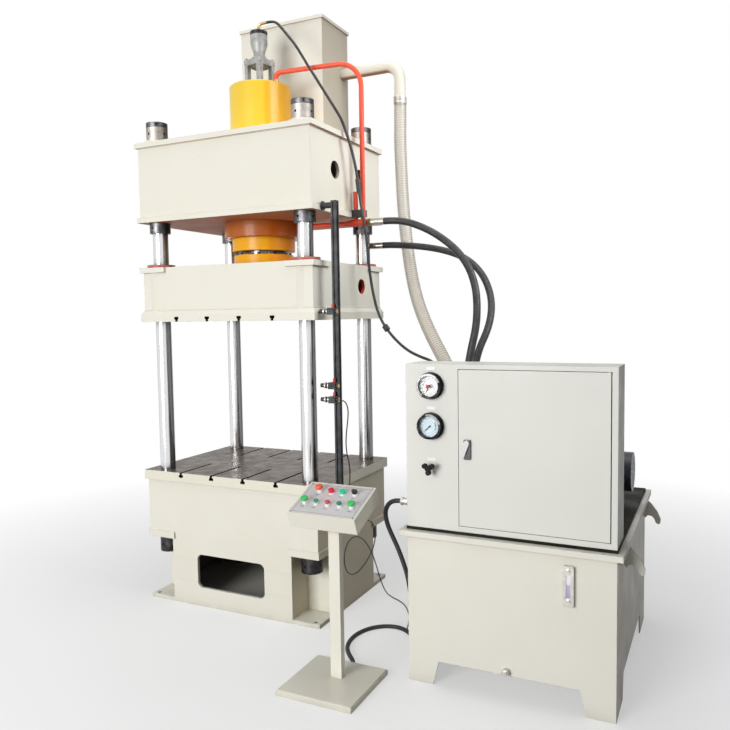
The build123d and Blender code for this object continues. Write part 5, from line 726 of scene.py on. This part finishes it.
dress("contact_needle", plastic.material)
dress("pressure_needle", plastic.material)


def mark(z, angle, near, far, wide):
    """Rings of a thin printed stroke on the dial at height z, from one radius to another."""
    ahead = Vector((cos(angle), 0.0, sin(angle)))
    side = Vector((-sin(angle), 0.0, cos(angle))) * wide / 2
    proud = Vector((0.0, -0.0003, 0.0))
    rings = []
    for radius in (near, far):
        middle = Vector((GAUGE_X, DIAL_Y + 0.0001, z)) + ahead * radius
        rings.append([middle + side, middle + side + proud, middle - side + proud, middle - side])
    return rings


dial_marks = [mark(z, radians(225 - 270 * step / 40), 0.0375 if step % 4 else 0.0345, 0.0415,
                   0.0006 if step % 4 else 0.0011) for z in GAUGE_ZS for step in range(41)]
skin("gauge_dial_marks", dial_marks, plastic.material, smooth=False)
red_band = [mark(GAUGE_ZS[1], radians(-35 + 70 * step / 30), 0.0285, 0.0315, 0.0028) for step in range(31)]
skin("pressure_gauge_red_band", red_band, red_screw.material, smooth=False)
blue_print = Finish("blue_dial_print", 0.45)
blue_print.colour(blue_print.mixed(blue_print.cloud(60.0), (0.20, 0.36, 0.55), (0.28, 0.44, 0.62)))
blue_band = [mark(GAUGE_ZS[0], radians(100 + 90 * step / 34), 0.0300, 0.0318, 0.0028) for step in range(35)]
skin("contact_gauge_blue_band", blue_band, blue_print.material, smooth=False)

# Throttle: valve behind the cabinet's front, held by a nut on the panel. A steel spindle comes out
# through the nut and carries a black moulded knob with three lobes.
dress("throttle_valve", zinc.material)
knob_black = Finish("knob_black", 0.65)
knob_black.shader.inputs["Specular IOR Level"].default_value = 0.15
knob_black.colour(knob_black.mixed(knob_black.cloud(60.0), (0.008, 0.008, 0.007), (0.02, 0.019, 0.016)))
knob_black.relief([(knob_black.cloud(700.0, 2.0), 0.06, 0.0002)], 0.001)
dress("star_knob", knob_black.material, (zinc.material, lambda c, n: c.y > -0.8075))

# Motor, pump and valve block, on the tank's cover behind the cabinet: enamelled motor with a fan
# under its cowl, iron gear pump on a bell housing, and blackened block with two solenoid valves.
motor_blue = Finish("motor_enamel", 0.4, 0.1)
motor_blue.colour(motor_blue.mottle(14.0, 5.0, (0.018, 0.022, 0.03), (0.05, 0.058, 0.07)))
motor_blue.relief([(motor_blue.cloud(150.0, 3.0), 0.15, 0.0006)], 0.0015)
iron = Finish("dark_iron_enamel", 0.45, 0.3)
iron.colour(iron.mottle(22.0, 5.0, (0.045, 0.05, 0.055), (0.11, 0.115, 0.12)))
iron.relief([(iron.cloud(180.0, 3.0), 0.12, 0.0006)], 0.002)
dress("motor", motor_blue.material)
dress("motor_rotor", turned.material, (plastic.material, lambda c, n: c.x > 2.23))
dress("pump", iron.material)
dress("manifold", black_steel.material, (plastic.material, lambda c, n: c.z > 1.0 and c.x > 1.56))

# Console: slanted box of folded sheet on a square tube and a foot plate, all with cream enamel.
# Its faceplate is brushed aluminium, screwed on at the corners, and carries the buttons and lamps.
brushed = Finish("brushed_panel", 0.34, 0.35)
brushed.colour(brushed.mixed(brushed.cloud(160.0, 4.0, (0.05, 1.0, 1.0)),
                             (0.62, 0.595, 0.605), (0.72, 0.70, 0.71)))
brushed.relief([(brushed.cloud(500.0, 3.0, (0.04, 1.0, 1.0)), 0.08, 0.0003)], 0.0005)
dress("console_stand", cream)
dress("console_box", cream)
dress("console_faceplate", brushed.material)


def moulded(name, colour, dark, roughness=0.32, glow=0.0):
    """A glossy moulded plastic in one colour, slightly uneven."""
    finish = Finish(name, roughness)
    finish.colour(finish.mixed(finish.cloud(80.0, 3.0), dark, colour))
    finish.relief([(finish.cloud(500.0), 0.05, 0.0002)], 0.0012)
    if glow > 0:
        finish.shader.inputs["Emission Color"].default_value = (*colour, 1.0)
        finish.shader.inputs["Emission Strength"].default_value = glow
    return finish.material


white_collar = moulded("white_collar_plastic", (0.86, 0.86, 0.85), (0.78, 0.78, 0.77))
lamp_red = moulded("crimson_lens", (0.75, 0.02, 0.06), (0.55, 0.01, 0.04), 0.15, 0.15)
lamp_green = moulded("green_lens", (0.02, 0.62, 0.36), (0.01, 0.45, 0.25), 0.15, 0.15)
FACE = Matrix.Translation((1.001, -1.079, 0.868)) @ Matrix.Rotation(radians(21.9), 4, "X")
TO_FACE = FACE.inverted()


def on_lamp(u):
    """Faces of the lamp at u on the console's face."""
    def is_lens(c, n):
        spot = TO_FACE @ c
        return abs(spot.x - u) < 0.018 and spot.y > 0.17 and spot.z > 0.0068
    return is_lens


dress("button_collars", white_collar, (lamp_red, on_lamp(-0.029)), (lamp_green, on_lamp(0.034)))
stop_red = moulded("stop_red_plastic", (0.88, 0.13, 0.05), (0.78, 0.09, 0.035))
palm_green = moulded("palm_green_plastic", (0.055, 0.56, 0.14), (0.04, 0.44, 0.11))
small_green = moulded("small_green_plastic", (0.03, 0.34, 0.19), (0.02, 0.26, 0.14))
small_red = moulded("small_red_plastic", (0.62, 0.09, 0.09), (0.50, 0.06, 0.06))
dark_green = moulded("dark_green_plastic", (0.02, 0.24, 0.16), (0.015, 0.18, 0.11))
dress("estop_button", stop_red)
dress("left_palm_button", palm_green)
dress("right_palm_button", palm_green)
dress("green_button", small_green)
dress("red_button", small_red)
dress("dark_green_button", dark_green)
dress("selector_knob", plastic.material)


def plate_bar(u0, u1, v0, v1, high):
    """Rings of a thin bar that lies on the faceplate."""
    return [[FACE @ Vector((u0, v0, 0.0)), FACE @ Vector((u1, v0, 0.0)), FACE @ Vector((u1, v1, 0.0)),
             FACE @ Vector((u0, v1, 0.0))], [FACE @ Vector(spot) for spot in (
                 (u0, v0, high), (u1, v0, high), (u1, v1, high), (u0, v1, high))]]


line_u, line_v0, line_v1, line_w = 0.164, 0.020, 0.243, 0.0011
border = [plate_bar(-line_u, line_u, v, v + line_w, 0.0002) for v in (line_v0, line_v1)]
border += [plate_bar(u, u + line_w, line_v0, line_v1, 0.0002) for u in (-line_u, line_u - line_w)]
for u in (-0.128, -0.064, 0.0, 0.064, 0.130):
    border.append(plate_bar(u - 0.011, u + 0.011, 0.058, 0.0605, 0.0002))
for u in (-0.096, -0.029, 0.034, 0.101):
    border.append(plate_bar(u - 0.010, u + 0.010, 0.160, 0.1625, 0.0002))
skin("faceplate_print", border, plastic.material, smooth=False)
screws = []
for u in (-0.1685, 0.1685):
    for v in (0.0145, 0.2495):
        screws.append([[FACE @ Vector((u + r * cos(a), v + r * sin(a), h))
                        for a in (step * pi / 6 for step in range(12))]
                       for r, h in ((0.0034, 0.0), (0.0034, 0.0007), (0.0026, 0.0014), (0.0012, 0.0017))])
skin("faceplate_screws", screws, black_steel.material)


# Thick pressure hoses: black rubber over steel braid, from the red pipe and from the short rear
# pipe, in two arches down to the valve block. The thin pilot hose runs from the brass elbow.
def places_along(curve_object, spacing):
    """Points at even spacing on the middle line of a hose, each with two directions square to it."""
    bare = curve_object.data.copy()
    bare.bevel_depth = 0.0
    bare_object = bpy.data.objects.new("middle_line", bare)
    line = bpy.data.meshes.new_from_object(bare_object)
    spots = [vertex.co.copy() for vertex in line.vertices]
    bpy.data.meshes.remove(line)
    bpy.data.objects.remove(bare_object)
    bpy.data.curves.remove(bare)
    side = (spots[1] - spots[0]).orthogonal().normalized()
    places, gone = [], 0.0
    for start, end in zip(spots, spots[1:]):
        leg = (end - start).length
        ahead = (end - start).normalized()
        side = (side - ahead * side.dot(ahead)).normalized()
        while gone <= leg:
            places.append((start + ahead * gone, side, ahead.cross(side)))
            gone += spacing
        gone -= leg
    return places


def hose(name, route, radius, finish,
         extras=(), wound=None):
    """A smooth hose along given points, in place of its solid."""
    curve = bpy.data.curves.new(name, "CURVE")
    curve.dimensions = "3D"
    curve.bevel_depth = radius
    curve.bevel_resolution = 8
    curve.resolution_u = 12
    curve.use_fill_caps = True
    spline = curve.splines.new("NURBS")
    spline.points.add(len(route) - 1)
    for point, spot in zip(spline.points, route):
        point.co = (spot[0] / 1000, spot[1] / 1000, spot[2] / 1000, 1.0)
    spline.order_u = 3
    spline.use_endpoint_u = True
    piece = bpy.data.objects.new(name, curve)
    bpy.context.scene.collection.objects.link(piece)
    curve.materials.append(finish)
    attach(piece, "frame")
    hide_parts(name.replace("_skin", ""))
    pieces = list(extras)
    if wound is not None:
        pieces.append(wound(piece))


rubber = Finish("hose_rubber", 0.42)
rubber.colour(rubber.mottle(35.0, 5.0, (0.010, 0.010, 0.011), (0.035, 0.034, 0.033)))
rubber.sheen_of(rubber.steps(rubber.cloud(20.0, 4.0), [(0.3, 0.32), (0.7, 0.55)]))
rubber.relief([(rubber.cloud(380.0, 3.0), 0.14, 0.0006)])
hose("pressure_hose_upper_skin", [
    (845, 40, 2379), (905, 40, 2379), (1000, 34, 2364), (1117, 18, 2318), (1222, 0, 2258),
    (1327, -25, 2177), (1408, -60, 2082), (1461, -100, 1969), (1484, -140, 1859), (1490, -180, 1740),
    (1469, -220, 1601), (1452, -250, 1450), (1441, -264, 1290), (1444, -269, 1180),
    (1445, -270, 1092), (1445, -270, 1009),
], 0.021, rubber.material)
hose("pressure_hose_lower_skin", [
    (652, 445, 2275), (705, 445, 2275), (795, 437, 2267), (910, 424, 2254), (1040, 405, 2231),
    (1161, 380, 2197), (1281, 330, 2145), (1390, 260, 2053), (1462, 180, 1942), (1497, 100, 1837),
    (1501, 10, 1724), (1464, -80, 1594), (1450, -116, 1440), (1440, -128, 1290), (1444, -131, 1180),
    (1445, -130, 1092), (1445, -130, 1009),
], 0.021, rubber.material)
hose("pilot_hose_skin", [
    (62, 0, 3676), (98, 0, 3676), (136, -4, 3662), (168, -10, 3632), (222, -23, 3570),
    (295, -40, 3486), (345, -50, 3412), (392, -60, 3341), (462, -72, 3240), (535, -85, 3133),
    (592, -93, 3050), (642, -102, 2975), (672, -100, 2890), (692, -72, 2793), (704, -36, 2666),
    (710, -12, 2512), (738, -6, 2346), (741, 14, 2225), (743, 38, 2073), (763, 58, 1899),
    (798, 70, 1782), (877, 60, 1682), (988, 20, 1601), (1102, -40, 1563), (1190, -95, 1547),
    (1262, -135, 1505), (1318, -160, 1420), (1352, -175, 1310), (1380, -187, 1200),
    (1406, -196, 1110), (1420, -200, 1046), (1420, -200, 989),
], 0.0085, rubber.material, extras=[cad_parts["hose_clips"]])
dress("hose_clips", rubber.material)

# Return hose: clear plastic tube with a steel wire wound into its wall, clamped to the spigot of
# the return pipe with a steel band. Its colour turns browner towards the bottom.
clear_hose = Finish("clear_hose_plastic", 0.18)
clean = clear_hose.mixed(clear_hose.cloud(5.0, 4.0), (0.74, 0.70, 0.58), (0.84, 0.81, 0.72))
browner_towards_bottom = clear_hose.mixed(clear_hose.steps(clear_hose.rise(1.2, 2.7), [(0.1, 0.0), (0.9, 1.0)]),
                            (0.54, 0.47, 0.36), clean)
# Faces that look to either side are painted browner: painted shade along the tube's sides.
clear_hose.colour(clear_hose.mixed(1.0, browner_towards_bottom, clear_hose.facing(RIGHT, [
    (0.04, (0.55, 0.47, 0.36)), (0.22, (1.0, 1.0, 1.0)), (0.74, (1.0, 0.99, 0.97)),
    (0.96, (0.62, 0.55, 0.44))]),
    "MULTIPLY"))
clear_hose.shader.inputs["Alpha"].default_value = 0.5
clear_hose.relief([(clear_hose.cloud(40.0, 3.0), 0.1, 0.001)])


def steel_wire(piece):
    """The steel wire that is wound into the wall of the clear hose."""
    rings = []
    step_along, pitch = 0.0008, 0.016
    for row, (spot, side, up) in enumerate(places_along(piece, step_along)):
        turn = 2 * pi * row * step_along / pitch
        out = side * cos(turn) + up * sin(turn)
        ahead = side.cross(up)
        rings.append([spot + out * (0.0408 + 0.0011 * cos(a)) - ahead * 0.0015 * sin(a)
                      for a in (step * pi / 2 for step in range(4))])
    return skin("return_hose_wire", [rings], wire.material)


wire = Finish("hose_wire", 0.35, 0.6)
wire.colour(wire.mixed(wire.cloud(30.0, 4.0), (0.46, 0.42, 0.34), (0.62, 0.58, 0.50)))
wire.relief([(wire.cloud(400.0), 0.05, 0.0002)])
hose("return_hose_skin", [
    (748, 533, 3229), (748, 533, 3115), (744, 534, 2960), (749, 536, 2780), (758, 535, 2570),
    (779, 527, 2365), (811, 506, 2170), (862, 460, 1991), (925, 405, 1850), (1011, 342, 1707),
    (1120, 268, 1560), (1225, 200, 1420), (1315, 142, 1270), (1376, 104, 1120), (1400, 88.5, 1000),
    (1405, 85, 925), (1405, 85, 850),
], 0.041, clear_hose.material, wound=steel_wire)

# Conduit of the console: black corrugated plastic, from the gland on the cabinet down to the
# floor and under the foot of the stand.
def corrugations(piece):
    """The rounded ribs of the conduit, one for each four millimetres."""
    profile = ((-0.0013, 0.0108), (-0.0009, 0.0119), (0.0009, 0.0119), (0.0013, 0.0108))
    bars = []
    for spot, side, up in places_along(piece, 0.004)[2:-2]:
        ahead = side.cross(up)
        bars.append([[spot + ahead * along + (side * cos(a) + up * sin(a)) * reach
                      for a in (step * pi / 6 for step in range(12))]
                     for along, reach in profile])
    return skin("console_conduit_ribs", bars, plastic.material)


hose("console_conduit_skin", [
    (1276, -740, 888), (1239, -740, 888), (1205, -740, 868), (1187, -740, 832), (1189, -740, 790),
    (1204, -740, 744), (1229, -740, 694), (1255, -738, 640), (1278, -730, 572), (1294, -715, 500),
    (1297, -690, 410), (1292, -655, 320), (1280, -610, 230), (1262, -555, 145), (1240, -492, 75),
    (1210, -422, 30), (1165, -350, 11.8), (1103, -290, 11.8), (1030, -266, 11.8), (954, -290, 11.8),
    (893, -352, 11.8), (862, -440, 11.8), (862, -530, 11.8), (888, -620, 11.8), (940, -690, 11.8),
    (985, -736, 11.8), (1007, -775, 11.8), (1009, -805, 13.7),
], 0.0113, plastic.material, wound=corrugations)

# Cable of the limit switches: thin black sheath that hangs from the lowest switch in a loop beside
# the base and goes over the floor to the conduit.
hose("sensor_cable_skin", [
    (755.5, -412, 1337), (784, -412, 1337), (806, -410, 1313), (810, -404, 1272), (802, -398, 1215),
    (788, -390, 1150), (776, -376, 1080), (766, -345, 1015), (756, -300, 955), (741, -262, 890),
    (723, -236, 815), (707, -205, 735), (697, -160, 655), (690, -95, 590), (688, -15, 545),
    (688, 72, 515), (690, 148, 468), (692, 178, 395), (690, 150, 320), (688, 82, 270), (686, 5, 238),
    (686, -78, 222), (688, -160, 232), (690, -228, 272), (692, -266, 338), (694, -262, 412),
    (697, -215, 462), (701, -140, 470), (706, -62, 440), (711, 4, 385), (716, 58, 315), (721, 100, 238),
    (728, 130, 158), (742, 150, 80), (772, 152, 22), (824, 138, 4), (890, 105, 4), (950, 50, 4),
    (998, -22, 4), (1040, -100, 4), (1066, -176, 4), (1082, -226, 7), (1095, -268, 10),
], 0.0035, plastic.material)
